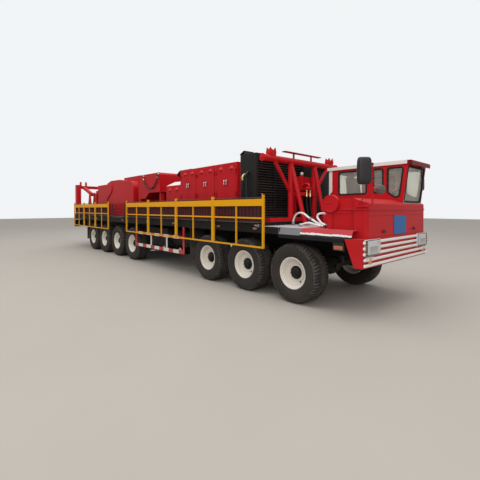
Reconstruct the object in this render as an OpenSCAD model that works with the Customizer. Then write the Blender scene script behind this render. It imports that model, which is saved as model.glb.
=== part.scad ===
// Carrier of a workover rig, parked without its mast: seven axles, an offset cab,
// a front mast support, radiator, engine hood, drive case, drawworks and mast base.
// +X is the front, +Y the left side and Z is up. The origin is on the floor under
// the middle of the overall length and width. All sizes are in millimetres.

/* [Overall] */
// Length over the cab visor and the tow hooks
overall_len = 15300; // [14900:10:15900]
// Width of the decks over their side faces
deck_w = 2700; // [2600:10:2760]
// Top of the main deck above the floor
deck_z = 1500; // [1480:5:1540]
// Top of the lower front deck above the floor
front_deck_z = 1420; // [1400:5:1450]
// Thickness of the deck plates
deck_t = 12; // [8:1:20]
// Depth of the deck side channels
fascia_h = 220; // [180:5:240]
// Inward run of the sloping edge of the front deck
deck_slope = 70; // [50:5:90]
// Drop of the sloping edge of the front deck
edge_drop = 140; // [120:5:150]
// Sheet thickness of covers and housings
sheet_t = 12; // [8:1:20]
// Running clearance in bearings and hinges
run_gap = 0.1; // [0.05:0.01:0.1]
// Clearance of clamped saddles and seats
seat_gap = 0.3; // [0.2:0.1:0.5]

/* [Axles and wheels] */
// Distance from the visor tip to the first axle
front_overhang = 1500; // [1450:10:1560]
// Spacing of the axles inside each group
axle_pitch = 1330; // [1300:5:1400]
// Spacing from the third axle to the fourth
group_gap = 4400; // [4300:10:4500]
// Outer radius of the tyres
tyre_r = 565; // [550:1:575]
// Width of the tyres
tyre_w = 430; // [420:1:450]
// Outer radius of the rim flanges
rim_r = 298; // [290:1:305]
// Width over the rim flanges
rim_w = 380; // [360:1:390]
// Distance from the centre line to the middle of a tyre
wheel_y = 1100; // [1090:1:1110]
// Radius of the wheel spindles
spindle_r = 60; // [50:1:70]
// Distance from the centre line to the kingpins
kingpin_y = 940; // [930:1:950]
// Radius of the kingpins
kingpin_r = 40; // [35:1:48]
// Radius of the axle tubes
axle_tube_r = 70; // [60:1:75]

/* [Frame] */
// Top of the frame rails above the floor
rail_top = 1240; // [1220:5:1250]
// Height of the frame rails
rail_h = 380; // [340:5:400]
// Distance from the centre line to the middle of a rail
rail_y = 380; // [360:5:400]
// Width of the rail flanges
rail_w = 90; // [80:1:100]
// Length of the transfer gearbox under the frame
transfer_len = 320; // [280:10:360]
// Spacing of the deck cross bearers
bearer_pitch = 1100; // [1000:10:1300]
// Radius of the levelling jack housings
jack_r = 85; // [75:1:95]
// Radius of the jack legs
jack_leg_r = 65; // [55:1:70]
// Height of the jack pads above the floor in the parked position
jack_lift = 360; // [340:5:400]
// Height of the jack legs over their pads
jack_leg_h = 640; // [600:10:660]

/* [Walkways] */
// Width of the folding walkways
walk_w = 470; // [450:5:490]
// Thickness of the folding walkways
walk_t = 50; // [40:1:52]
// Height of the folding railings
rail_guard_h = 1010; // [990:5:1020]
// Size of the square railing tube
tube = 40; // [34:1:42]
// Height of the railing toe boards
toe_h = 140; // [120:5:150]
// Length of one front railing panel
front_panel = 1645; // [1620:5:1660]
// Length of one rear railing panel
rear_panel = 1490; // [1460:5:1500]
// Free length between the two railing sets
ladder_bay = 1680; // [1600:10:1720]
// Width of the folded boarding ladder
ladder_w = 1170; // [1100:10:1200]
// Radius of the walkway and railing hinge rods
hinge_r = 11; // [9:1:12]
// Size of the boarding ladder tube
ladder_tube = 32; // [28:1:36]

/* [Cab] */
// Length of the cab
cab_len = 1670; // [1620:10:1700]
// Width of the cab
cab_w = 950; // [920:5:980]
// Top of the cab roof above the floor
cab_top = 2700; // [2660:5:2740]
// Thickness of the cab roof
roof_t = 70; // [60:5:80]
// Thickness of the cab walls
cab_wall = 50; // [40:1:60]
// Top of the front body shelf above the floor
shelf_z = 1950; // [1930:5:1970]
// Top of the front panel above the floor
nose_top = 1880; // [1860:5:1900]
// Width of the front body on the right of the centre line
body_right = 1130; // [1090:5:1160]
// Step of the front body side behind its corner block
side_step = 80; // [60:5:90]
// Radius of the right front corner of the body
corner_r = 60; // [40:5:80]
// Forward lean of the windscreen over its height
screen_lean = 90; // [70:5:100]
// Corner radius of the cab windows
window_r = 45; // [30:5:60]
// Height of the front bumper
bumper_h = 450; // [420:5:470]
// Lower edge of the front bumper above the floor
bumper_z = 840; // [820:5:860]
// Length of the cab door
door_len = 760; // [720:5:780]
// Thickness of the window panes
glass_t = 8; // [6:1:10]

/* [Power pack] */
// Distance from the first axle back to the mast support
support_back = 720; // [700:5:760]
// Height of the top tube of the mast support
support_z = 2820; // [2780:5:2860]
// Radius of the top tube of the mast support
support_r = 70; // [60:1:80]
// Distance from the mast support back to the radiator face
radiator_back = 560; // [540:5:600]
// Depth of the radiator housing
radiator_d = 520; // [480:5:560]
// Half width of the radiator housing
radiator_half = 960; // [940:5:980]
// Top of the radiator housing above the floor
radiator_top = 3030; // [2980:5:3080]
// Length of the tall engine hood
hood_len = 2520; // [2500:10:2560]
// Half width of the engine hood
hood_half = 950; // [930:5:960]
// Top of the tall engine hood above the floor
hood_top = 2895; // [2860:5:2930]
// Length of the low rear hood
low_hood_len = 830; // [800:5:860]
// Side top of the low rear hood above the floor
low_hood_top = 2480; // [2440:5:2520]
// Height of the middle of the low rear hood over its side tops
low_hood_rise = 130; // [110:5:150]
// Width of one hood door leaf
leaf_w = 375; // [360:1:380]
// Height of the hood door leaves
leaf_h = 800; // [760:5:820]
// Thickness of the hood door leaves
leaf_t = 25; // [20:1:30]
// Radius of the wrapped hoses on the front deck
hose_r = 24; // [20:1:28]
// Bend radius of the radiator elbows
elbow_r = 70; // [60:1:80]

/* [Drawworks] */
// Length of the drive case
case_len = 1540; // [1500:10:1560]
// Free length between the low hood and the drive case
case_gap = 430; // [400:10:450]
// Height of the drive case
case_h = 640; // [600:5:680]
// Top of the drive case above the floor
case_top = 2960; // [2920:5:3000]
// Half width of the drawworks covers
works_half = 1000; // [960:5:1040]
// Free length between the drive case and the main drum cover
cover_gap = 340; // [300:10:360]
// Length of the main drum cover
main_cover_len = 2600; // [2500:10:2650]
// Top of the main drum cover above the floor
main_cover_top = 2930; // [2880:5:2960]
// Length of the second drum cover
second_cover_len = 1620; // [1560:10:1660]
// Radius of the round nose of the second cover
nose_r = 200; // [180:5:220]
// Radius of the front shoulder of the main cover
shoulder_r = 330; // [300:5:350]
// Length of the raised box over the main cover
box_len = 1500; // [1400:10:1600]
// Distance from the front of the main cover back to the raised box
box_back = 50; // [40:5:60]
// Half width of the raised box over the main cover
box_half = 700; // [660:10:740]
// Rise of the box over the main cover
box_rise = 95; // [85:5:100]
// How far the second drum cover reaches behind the main one
second_cover_out = 1060; // [1000:10:1100]
// Top of the second drum cover above the floor
second_cover_top = 2800; // [2760:5:2830]
// Distance from the front of the main cover back to the drum axis
drum_back = 1070; // [1040:10:1090]
// Height of the drum axis above the floor
drum_z = 2250; // [2230:5:2260]
// Radius of the drum barrel
drum_r = 300; // [280:5:320]
// Radius of the drum flanges
drum_flange_r = 500; // [480:5:510]
// Width between the drum flanges
drum_w = 1200; // [1100:10:1300]
// Top of the mast base posts above the floor
mast_base_top = 2960; // [2920:5:3000]
// Size of the mast base posts along the carrier
post_len = 300; // [260:10:320]
// Width of the mast base posts
post_w = 190; // [170:5:200]
// Distance from the centre line to the outer faces of the posts
post_out = 1270; // [1250:5:1290]
// Depth of the mast base cross beam
beam_h = 140; // [120:5:160]
// Height of the mast hinge lugs over the cross beam
lug_h = 205; // [190:5:220]
// Thickness of the mast hinge lugs
lug_t = 40; // [36:1:45]
// Radius of the mast hinge bores
mast_bore_r = 45; // [35:1:50]
// Radius of the mast raising cylinders
ram_r = 85; // [75:1:95]

/* [Hidden] */
$fn = 48;

front_x = overall_len / 2;
rear_x = -overall_len / 2;
half_w = deck_w / 2;
axle1_x = front_x - front_overhang;
function axle_x(i) = i < 3 ? axle1_x - i * axle_pitch
  : axle1_x - 2 * axle_pitch - group_gap - (i - 3) * axle_pitch;
axle_z = tyre_r;
bumper_x = front_x - 80;
panel_x = front_x - 120;
cab_rear_x = panel_x - cab_len;
cab_right = half_w - cab_w;
body_rear_x = panel_x - 730;
block_x = panel_x - 250;
side_y = -body_right + side_step;
moulding_z = shelf_z - 200;
roof_z = cab_top - roof_t;
support_x = axle1_x - support_back;
step_x = support_x + 70;
radiator_front = support_x - radiator_back;
radiator_rear = radiator_front - radiator_d;
hood_front = radiator_rear - 120;
hood_rear = hood_front - hood_len;
low_rear = hood_rear - low_hood_len;
case_front = low_rear - case_gap;
case_rear = case_front - case_len;
cover_front = case_rear - cover_gap;
cover_mid = cover_front - main_cover_len;
cover_rear = cover_mid - second_cover_out;
second_drum_x = (cover_rear + cover_mid) / 2;
saddle_ys = [1010, 1150];
saddle_h = 220;
drum_x = cover_front - drum_back;
cab_low = front_deck_z - 130;
transfer_x = axle_x(2) - 1000;
under_deck = deck_z - deck_t;
front_deck_end = axle1_x - 290;
tail_x = rear_x + 160;
walk_y = half_w + 10;
walk_axis_y = walk_y + walk_t / 2;
walk_axis_z = deck_z - 15;
walk_bottom = deck_z;
walk_top = walk_bottom + walk_w;
guard_y = walk_y + walk_t + 20;
guard_axis_y = guard_y + tube / 2;
guard_axis_z = walk_top + tube / 2 + 5;
guard_top = guard_axis_z - 25;
front_set_front = axle1_x - 570;
front_set_rear = front_set_front - 4 * front_panel;
rear_set_front = front_set_rear - ladder_bay;
rear_count = max(1, floor((rear_set_front - rear_x - 460) / rear_panel));
rear_set_rear = rear_set_front - rear_count * rear_panel;
jack_front_x = axle_x(3) + tyre_r + 240;
jack_rear_x = (axle_x(6) - tyre_r + tail_x) / 2 - 70;
jack_y = wheel_y - 240;
beam_rear = rear_x + 50;
beam_front = beam_rear + 200;
beam_top = mast_base_top - 40;
hinge_x = (beam_rear + beam_front) / 2;
hinge_z = beam_top + lug_h - 85;
lug_out = post_out - post_w - 2;
lug_in = lug_out - 290;
ram_foot_x = (rear_x + post_len + cover_rear) / 2 + 60;
ram_y = (lug_out + lug_in) / 2;
ram_foot_z = beam_top - 470;
leaf_z = hood_top - 80 - leaf_h;
leaf_hinge_zs = [leaf_z + 100, leaf_z + leaf_h - 160];
door_hinge_zs = [1560, 2400];
pair_pitch = hood_len / 3;

// A box given by its two opposite corners.
module span(a, b) {
  translate(a) cube([b[0] - a[0], b[1] - a[1], b[2] - a[2]]);
}

// A round bar from one point to another.
module bar(a, b, r) {
  v = b - a;
  l = norm(v);
  translate(a)
    rotate([0, acos(v[2] / l), atan2(v[1], v[0])])
      cylinder(r = r, h = l);
}

// A bent round bar through the given points, with a ball at each inner corner.
module bent(pts, r) {
  for (k = [0:len(pts) - 2]) bar(pts[k], pts[k + 1], r);
  if (len(pts) > 2) for (k = [1:len(pts) - 2]) translate(pts[k]) sphere(r = r * 1.12, $fn = 20);
}

// A cylinder along Y, centred on the given point.
module cyl_y(p, r, w) {
  translate(p) rotate([90, 0, 0]) cylinder(r = r, h = w, center = true);
}

// A cylinder along X from x0 to x1.
module cyl_x(x0, x1, y, z, r) {
  translate([x0, y, z]) rotate([0, 90, 0]) cylinder(r = r, h = x1 - x0);
}

// A profile in the X-Z plane, extruded between two Y values.
module side_plate(pts, y0, y1) {
  translate([0, y1, 0]) rotate([90, 0, 0]) linear_extrude(y1 - y0) polygon(pts);
}

// Copies the children to the other side of the centre line too.
module both_sides() {
  children();
  mirror([0, 1, 0]) children();
}

// The running gear.

module frame() color("#151515") {
  x0 = tail_x + 120;
  x1 = bumper_x - 200;
  both_sides() {
    span([x0, rail_y - 7, rail_top - rail_h], [x1, rail_y + 7, rail_top]);
    span([x0, rail_y - rail_w / 2, rail_top - 22], [x1, rail_y + rail_w / 2, rail_top]);
    span([x0, rail_y - rail_w / 2, rail_top - rail_h],
      [x1, rail_y + rail_w / 2, rail_top - rail_h + 22]);
  }
  for (x = [x0 + 60, jack_rear_x + 260, axle_x(6) + 665, axle_x(5) + 665, axle_x(4) + 665,
      jack_front_x, transfer_x, axle_x(2) + 665, axle_x(1) + 665, x1 - 120])
    span([x - 60, -rail_y, rail_top - rail_h + 60], [x + 60, rail_y, rail_top - 60]);
  // Tail beam with the tow hooks.
  span([tail_x, -half_w, rail_top - rail_h + 40], [tail_x + 120, half_w, rail_top]);
  both_sides() {
    tow_hook(tail_x);
    for (x = [jack_front_x, jack_rear_x]) {
      translate([x, jack_y, jack_lift + 60]) difference() {
        cylinder(r = jack_r, h = rail_top - jack_lift - 60);
        translate([0, 0, -1]) cylinder(r = jack_leg_r + run_gap, h = jack_leg_h - 20);
      }
      span([x - 60, rail_y, rail_top - 300], [x + 60, jack_y - jack_r + 8, rail_top - 40]);
    }
  }
  // Transfer gearbox hung between the rails.
  span([transfer_x - transfer_len / 2, -190, axle_z - 60],
    [transfer_x + transfer_len / 2, 190, rail_top - rail_h + 70]);
}

module tow_hook(x) {
  y = 300;
  z = rail_top - rail_h - 10;
  difference() {
    union() {
      span([x - 60, y - 30, z - 70], [x + 60, y + 30, z + 60]);
      cyl_y([x - 60, y, z - 5], 65, 60);
      span([rear_x, y - 30, z - 70], [x - 60, y + 30, z - 30]);
    }
    cyl_y([x - 60, y, z + 8], 30, 70);
  }
}

module axles() color("#1b1b1b") {
  for (i = [0:2]) translate([axle_x(i), 0, axle_z]) {
    rotate([90, 0, 0]) cylinder(r = axle_tube_r, h = 2 * (kingpin_y - kingpin_r - 10), center = true);
    both_sides() translate([0, kingpin_y, 0]) difference() {
      cylinder(r = kingpin_r + 32, h = 150, center = true);
      cylinder(r = kingpin_r + run_gap, h = 160, center = true);
    }
    axle_bowl();
  }
  for (i = [3:6]) translate([axle_x(i), 0, axle_z]) {
    rotate([90, 0, 0]) cylinder(r = axle_tube_r + 12, h = 2 * (wheel_y - 160), center = true);
    rotate([90, 0, 0]) cylinder(r = spindle_r, h = 2 * (wheel_y - 10), center = true);
    both_sides() cyl_y([0, wheel_y - 175, 0], 190, 60);
    axle_bowl();
  }
  // Prop shafts between the axles of the rear group and from the gearbox to both groups.
  for (i = [3:5])
    cyl_x(axle_x(i + 1) + 150, axle_x(i) - 150, 0, axle_z + 40, 45);
  cyl_x(axle_x(3) + 150, transfer_x - transfer_len / 2, 0, axle_z + 40, 45);
  cyl_x(transfer_x + transfer_len / 2, axle_x(2) - 150, 0, axle_z + 40, 45);
}

module axle_bowl() {
  rotate([90, 0, 0]) rotate_extrude()
    polygon([[0, -150], [90, -150], [180, -60], [180, 60], [90, 150], [0, 150]]);
  rotate([0, 90, 0]) cylinder(r = 90, h = 400, center = true);
}

module suspension() color("#202020") {
  sy = rail_y;
  rail_low = rail_top - rail_h;
  both_sides() {
    for (i = [0:2]) translate([axle_x(i), 0, 0]) difference() {
      leaf_spring(sy, axle_z + axle_tube_r, rail_low);
      cyl_y([0, sy, axle_z], axle_tube_r + seat_gap, 120);
    }
    for (i = [3, 5]) {
      xm = (axle_x(i) + axle_x(i + 1)) / 2;
      // Walking beam over a pair of axles with its saddle on the frame.
      difference() {
        side_plate([[axle_x(i + 1) - 120, axle_z + 50], [axle_x(i + 1) + 120, axle_z + 50],
          [xm - 200, axle_z + 100], [xm + 200, axle_z + 100], [axle_x(i) - 120, axle_z + 50],
          [axle_x(i) + 120, axle_z + 50], [axle_x(i) + 120, axle_z + 190], [xm + 160, axle_z + 245],
          [xm - 160, axle_z + 245], [axle_x(i + 1) - 120, axle_z + 190]], sy - 45, sy + 45);
        for (x = [axle_x(i), axle_x(i + 1)])
          cyl_y([x, sy, axle_z], axle_tube_r + 12 + seat_gap, 100);
      }
      side_plate([[xm - 110, axle_z + 240], [xm + 110, axle_z + 240],
        [xm + 160, rail_low], [xm - 160, rail_low]], sy - 60, sy + 60);
    }
  }
}

module leaf_spring(y, seat_z, top_z) {
  // Stack of leaves, longest on top, with a hanger at each end.
  for (leaf = [[0, 520], [1, 420], [2, 320], [3, 220]])
    span([-leaf[1], y - 40, seat_z + 76 - leaf[0] * 22],
      [leaf[1], y + 40, seat_z + 98 - leaf[0] * 22]);
  span([-70, y - 50, seat_z - 30], [70, y + 50, seat_z + 12]);
  for (s = [-1, 1])
    span([s * 500 - 30, y - 30, seat_z + 90], [s * 500 + 30, y + 30, top_z]);
}

module wheel(i, s) color("#1c1c1c") translate([axle_x(i), s * wheel_y, axle_z])
  rotate([s > 0 ? -90 : 90, 0, 0]) {
    tyre_solid();
    rim_solid();
  }

// Tyre profile: bead, sidewall, shoulder and crown, turned about the wheel axis.
module tyre_solid() {
  h = tyre_w / 2;
  b = rim_w / 2 - 8;
  rotate_extrude($fn = 64)
    polygon([[rim_r + 0.5, -b], [rim_r + 40, -h + 12], [rim_r + 110, -h], [rim_r + 160, -h + 4],
      [tyre_r - 50, -h + 14], [tyre_r - 20, -h + 30], [tyre_r - 5, -h + 62], [tyre_r, -h + 110],
      [tyre_r, h - 110], [tyre_r - 5, h - 62], [tyre_r - 20, h - 30], [tyre_r - 50, h - 14],
      [rim_r + 160, h - 4], [rim_r + 110, h], [rim_r + 40, h - 12], [rim_r + 0.5, b]]);
}

// Deep-dished rim: barrel with two flanges, disc and hub. The outer side is +Z.
module rim_solid() {
  w = rim_w / 2;
  rotate_extrude()
    polygon([[rim_r, -w], [rim_r, w], [rim_r - 14, w], [rim_r - 30, w - 20],
      [rim_r - 44, w - 90], [rim_r - 52, 30], [170, 22], [170, 60], [135, 60], [135, 110],
      [0, 110], [0, 70], [100, 70], [100, 0], [spindle_r + run_gap, 0],
      [spindle_r + run_gap, -20], [170, -20], [170, 4], [rim_r - 50, 8],
      [rim_r - 44, -w + 70], [rim_r - 30, -w + 20], [rim_r - 14, -w]]);
}

// Steering knuckle of a front wheel, around its kingpin.
module knuckle(i, s) color("#242424") translate([axle_x(i), s * kingpin_y, axle_z])
  scale([1, s, 1]) {
    cylinder(r = kingpin_r, h = 230, center = true);
    for (k = [-1, 1]) translate([0, 0, k * 98]) {
      cylinder(r = kingpin_r + 26, h = 34, center = true);
      translate([-50, 0, -17]) cube([100, 100, 34]);
    }
    translate([-70, 80, -115]) cube([140, 25, 230]);
    rotate([-90, 0, 0]) translate([0, 0, 90])
      cylinder(r = spindle_r, h = wheel_y - kingpin_y - 90 + 40);
    span([-215, 60, -112], [-40, 92, -84]);
  }

module jack_legs() color("#8a8d90") both_sides()
  for (x = [jack_front_x, jack_rear_x]) translate([x, jack_y, jack_lift]) {
    cylinder(r = jack_leg_r, h = jack_leg_h);
    cylinder(r = 150, h = 30);
    cylinder(r = 95, h = 55);
  }

// The decks and their guards.

module deck() color("#26282a") {
  x0 = tail_x + 60;
  x1 = step_x;
  difference() {
    span([x0, -half_w, under_deck], [x1, half_w, deck_z]);
    // Opening under the drum.
    span([drum_x - 500, -drum_w / 2 - 60, under_deck - 10],
      [drum_x + 500, drum_w / 2 + 60, deck_z + 10]);
  }
  both_sides() {
    span([x0, half_w - 12, deck_z - fascia_h], [x1, half_w, under_deck + 2]);
    span([x0, half_w - 70, deck_z - fascia_h], [x1, half_w, deck_z - fascia_h + 12]);
    span([x1 - 2, half_w - 12, deck_z - fascia_h], [front_deck_end, half_w, front_deck_z - 2]);
    span([x1 - 2, half_w - 70, deck_z - fascia_h], [front_deck_end, half_w, deck_z - fascia_h + 12]);
  }
  span([x1 - 12, -half_w, front_deck_z - deck_t], [x1, half_w, deck_z - 2]);
  n = floor((x1 - x0 - 200) / bearer_pitch);
  for (k = [0:n]) {
    x = x0 + 120 + k * (x1 - x0 - 240) / n;
    if (abs(x - drum_x) > 580) bearer(x, 0);
    else both_sides() bearer(x, drum_w / 2 + 80);
  }
  front_deck();
  walkway_lugs();
}

// Cross bearer with tapered ends. It reaches from side to side when y0 is zero.
module bearer(x, y0) {
  low = deck_z - fascia_h + 20;
  translate([x - 40, 0, 0]) rotate([90, 0, 90]) linear_extrude(80)
    polygon([[y0 > 0 ? y0 : -rail_y - 120, y0 > rail_y ? low - 20 : rail_top],
      [max(y0, rail_y + 120), rail_top], [half_w - 200, low], [half_w - 12, low],
      [half_w - 12, under_deck], [y0 > 0 ? y0 : -half_w + 12, under_deck],
      [y0 > 0 ? y0 : -half_w + 12, low], [y0 > 0 ? y0 : -half_w + 200, low]]);
}

// Lower front deck with a sloping edge over the first axle on the right side.
module front_deck() {
  t = deck_t;
  z = front_deck_z;
  edge_z = z - edge_drop;
  x1 = bumper_x - 330;
  bumper_top = bumper_z + bumper_h + seat_gap;
  span([step_x - 2, -half_w, z - t], [front_deck_end, half_w, z]);
  for (part = [[front_deck_end - 1, body_rear_x, -cab_right + 2], [body_rear_x - 1, x1, body_right]])
    translate([part[0], 0, 0]) rotate([90, 0, 90]) linear_extrude(part[1] - part[0])
      polygon([[-part[2], z - t], [-half_w + deck_slope, z - t], [-half_w + 12, edge_z],
        [-half_w + 12, edge_z - 60], [-half_w, edge_z - 60], [-half_w, edge_z],
        [-half_w + deck_slope - 4, z], [-part[2], z]]);
  // Its front end over the bumper.
  translate([x1 - 1, 0, 0]) rotate([90, 0, 90]) linear_extrude(131)
    polygon([[-body_right, z - t], [-half_w + deck_slope, z - t], [-half_w + 16, bumper_top],
      [-half_w + 5, bumper_top], [-half_w + deck_slope - 4, z], [-body_right, z]]);
  // Cross bearers: the cab rests on their lower left ends.
  for (x = [axle1_x - 150, axle1_x + 450, axle1_x + 950]) {
    span([x - 40, cab_right - 20, rail_top], [x + 40, half_w - 260, cab_low]);
    span([x - 40, -half_w + 260, rail_top], [x + 40, cab_right - 19, cab_low]);
    if (x < body_rear_x)
      span([x - 40, -half_w + 260, cab_low - 1], [x + 40, cab_right - 20, z - t + 1]);
  }
  // Brackets of the corner lamps.
  span([lamp_x0 - 10, -half_w + 28, lamp_z1], [lamp_x1 + 10, -half_w + 40, edge_z - 50]);
  span([lamp_x0 - 10, half_w - 40, lamp_z1], [lamp_x1 + 10, half_w - 28, cab_low]);
  span([lamp_x0 - 10, -half_w + 12, edge_z - 60], [lamp_x1 + 10, -half_w + 40, edge_z - 48]);
}

// Hinge lugs of the folding walkways along the deck sides.
module walkway_lugs() both_sides() {
  for (x = lug_xs())
    side_lug([x - 6, x + 6]);
  for (r = walk_runs())
    cyl_x(r[0] + 20, r[1] - 20, walk_axis_y, walk_axis_z, hinge_r);
}

// Start and end of each walkway run.
function walk_runs() = [[rear_set_rear, rear_set_front], [front_set_rear, front_set_front]];
function lug_xs() = concat([for (k = [0:3]) rear_set_rear + 100 + k * (rear_count * rear_panel - 200) / 3],
  [for (k = [0:4]) front_set_rear + 100 + k * (4 * front_panel - 200) / 4]);

module side_lug(xs) translate([xs[0], 0, 0]) rotate([90, 0, 90])
  linear_extrude(xs[1] - xs[0])
    polygon([[half_w - 6, walk_axis_z - 60], [half_w - 6, walk_axis_z - 4],
      [walk_axis_y, walk_axis_z + 8], [walk_axis_y + 8, walk_axis_z],
      [walk_axis_y, walk_axis_z - 12]]);

module walkway(s) color("#3a1f22") scale([1, s, 1]) for (r = walk_runs()) {
  n = r == walk_runs()[0] ? rear_count : 4;
  p = (r[1] - r[0]) / n;
  for (k = [0:n - 1]) {
    a = r[0] + k * p + 45;
    b = r[0] + (k + 1) * p - 45;
    grate_panel(a, b);
    for (x = [a + 160, b - 160])
      difference() {
        span([x - 8, walk_axis_y - 20, walk_axis_z - 20], [x + 8, walk_axis_y + 20, walk_bottom + 10]);
        cyl_x(x - 20, x + 20, walk_axis_y, walk_axis_z, hinge_r + run_gap);
      }
    for (x = [a + 60, (a + b) / 2 - 40, b - 60])
      guard_lug(x);
    cyl_x(a - 35, b + 35, guard_axis_y, guard_axis_z, hinge_r);
  }
}

// One folded walkway panel: an edge frame with upright bars between the edges.
module grate_panel(a, b) {
  y0 = walk_y;
  y1 = walk_y + walk_t;
  difference() {
    span([a, y0, walk_bottom], [b, y1, walk_top]);
    span([a + 30, y0 - 1, walk_bottom + 30], [b - 30, y1 + 1, walk_top - 30]);
  }
  n = floor((b - a) / 110);
  for (k = [1:n - 1]) {
    x = a + k * (b - a) / n;
    span([x - 5, y0 + 6, walk_bottom + 20], [x + 5, y1 - 6, walk_top - 20]);
  }
}

// Bracket from the walkway edge to the railing hinge rod.
module guard_lug(x) translate([x - 5, 0, 0]) rotate([90, 0, 90]) linear_extrude(10)
  polygon([[guard_axis_y + 7, guard_axis_z - 10], [guard_axis_y - 8, guard_axis_z],
    [guard_axis_y - 15, guard_axis_z - 28], [walk_y + walk_t - 4, walk_top - 14],
    [walk_y + walk_t - 4, walk_top - 60]]);

module railing(s) color("#d99a0b") scale([1, s, 1]) for (r = walk_runs()) {
  n = r == walk_runs()[0] ? rear_count : 4;
  p = (r[1] - r[0]) / n;
  for (k = [0:n - 1])
    guard_panel(r[0] + k * p + 3, r[0] + (k + 1) * p - 3);
}

// One railing panel as it hangs: toe board on top, mid rail and bottom rail.
module guard_panel(a, b) {
  y0 = guard_y;
  y1 = guard_y + tube;
  low = guard_axis_z - rail_guard_h;
  mid = guard_axis_z - 410;
  difference() {
    union() {
      for (x = [a, b - tube])
        span([x, y0, low], [x + tube, y1, guard_axis_z + 55]);
      span([(a + b) / 2 - 15, y0 + 5, low + 10], [(a + b) / 2 + 15, y1 - 5, guard_top - toe_h + 5]);
      span([a + 5, y0 + 4, low], [b - 5, y1 - 4, low + 32]);
      span([a + 5, y0 + 4, mid - 16], [b - 5, y1 - 4, mid + 16]);
      span([a + 5, y1 - 12, guard_top - toe_h], [b - 5, y1, guard_top]);
    }
    cyl_x(a - 10, b + 10, guard_axis_y, guard_axis_z, hinge_r + run_gap);
  }
}

// Folded boarding ladder between the two railing sets: a rounded U with rungs.
module ladder() color("#4a2328") both_sides() {
  x0 = (rear_set_front + front_set_rear - ladder_w) / 2 - 75;
  x1 = x0 + ladder_w;
  y = half_w + 15;
  z0 = deck_z - 60;
  translate([0, y + 30, 0]) rotate([90, 0, 0]) linear_extrude(30) difference() {
    ladder_outline(x0, x1, z0, 0);
    ladder_outline(x0, x1, z0, ladder_tube);
  }
  for (z = [z0 + 150, z0 + 260, z0 + 370])
    span([x0 + 10, y + 5, z - 11], [x1 - 10, y + 25, z + 11]);
  span([x0, y, z0 + 500], [x1, y + 30, z0 + 500 + ladder_tube]);
  for (x = [x0 + 160, x1 - 160])
    span([x - 15, half_w, z0], [x + 15, y + 1, z0 + ladder_tube]);
}

module ladder_outline(x0, x1, z0, i) {
  r = 150 - i;
  translate([x0 + i, z0 + 150]) square([x1 - x0 - 2 * i, 390]);
  translate([x0 + 150, z0 + i]) square([x1 - x0 - 300, 200]);
  for (x = [x0 + 150, x1 - 150]) translate([x, z0 + 150]) circle(r = r);
}

module side_guards() color("#b3151c") both_sides() {
  x0 = axle_x(3) + tyre_r - 85;
  x1 = axle_x(2) - 1000;
  t = 22;
  y = half_w - t;
  z0 = 580;
  for (x = [x0, x1])
    span([x - 35, y, z0 - 40], [x + 35, half_w, deck_z - fascia_h]);
  span([x0, y + 2, z0 - 40], [x1, half_w - 2, z0 + 60]);
  span([x0, y + 2, 945], [x1, half_w - 2, 1028]);
  for (x = [x0 + (x1 - x0) * 0.36, x0 + (x1 - x0) * 0.69])
    span([x - 35, y + 4, z0 + 50], [x + 35, half_w - 4, 960]);
}

module tanks() color("#1a1a1a") {
  x0 = jack_front_x + 300;
  x1 = axle_x(2) - tyre_r - 300;
  both_sides() {
    span([x0, rail_y + rail_w / 2, 640], [x0 + 1150, half_w - 180, 1180]);
    cyl_x(x0 + 1250, x1 - 120, 830, 900, 240);
    for (x = [x0 + 1350, x1 - 220])
      span([x - 30, rail_y + rail_w / 2, 880], [x + 30, 640, 940]);
  }
}

module mud_flaps() color("#101010") both_sides() {
  for (x = [axle_x(2) - tyre_r - 120, axle_x(6) - tyre_r - 120]) {
    span([x - 5, wheel_y - 240, 420], [x + 5, wheel_y + 235, deck_z - fascia_h]);
    span([x - 25, wheel_y - 240, deck_z - fascia_h - 40], [x + 25, half_w, deck_z - fascia_h]);
  }
}

// The cab and the front body.

screen_bottom = nose_top + 10;
screen_top = cab_top - 115;
screen_base = panel_x - 55;
lower_x = panel_x - 42;
roof_front = screen_base + screen_lean;

module cab_outline(i, zb) {
  polygon([[cab_rear_x + i, zb], [cab_rear_x + i, roof_z - i], [roof_front - i, roof_z - i],
    [screen_base - i, screen_bottom], [lower_x - i, screen_bottom - i], [lower_x - i, zb]]);
}

module cab_solid(i, zb, y0, y1)
  translate([0, y1, 0]) rotate([90, 0, 0]) linear_extrude(y1 - y0) cab_outline(i, zb);

// Outlines of the side windows: distance from the rear of the cab, and height.
front_window = [[1322, 2104], [1466, 2003], [1550, 2020], [1622, 2572], [1325, 2580]];
right_windows = [[[250, 2090], [885, 2090], [885, 2580], [250, 2580]],
  [[1030, 2105], [1230, 2105], [1230, 2578], [1030, 2578]], front_window];
left_windows = [[[90, 2090], [330, 2090], [330, 2580], [90, 2580]], front_window];
rear_window = [[cab_right + 150, 2085], [half_w - 150, 2085], [half_w - 150, 2585], [cab_right + 150, 2585]];
screen_window = [[cab_right + 50, screen_bottom + 22], [half_w - 50, screen_bottom + 22],
  [half_w - 50, screen_top], [cab_right + 50, screen_top]];

// A window outline with round corners, drawn in by the clearance c.
module pane(pts, c) offset(delta = -c) offset(r = window_r) offset(delta = -window_r) polygon(pts);

// A pane shape through a side wall, from y0 to y1.
module side_pane(pts, c, y0, y1)
  translate([cab_rear_x, y1, 0]) rotate([90, 0, 0]) linear_extrude(y1 - y0) pane(pts, c);

// A pane shape through the front or rear wall, from x0 to x1.
module front_pane(pts, c, x0, x1)
  translate([x0, 0, 0]) rotate([90, 0, 90]) linear_extrude(x1 - x0) pane(pts, c);

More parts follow.
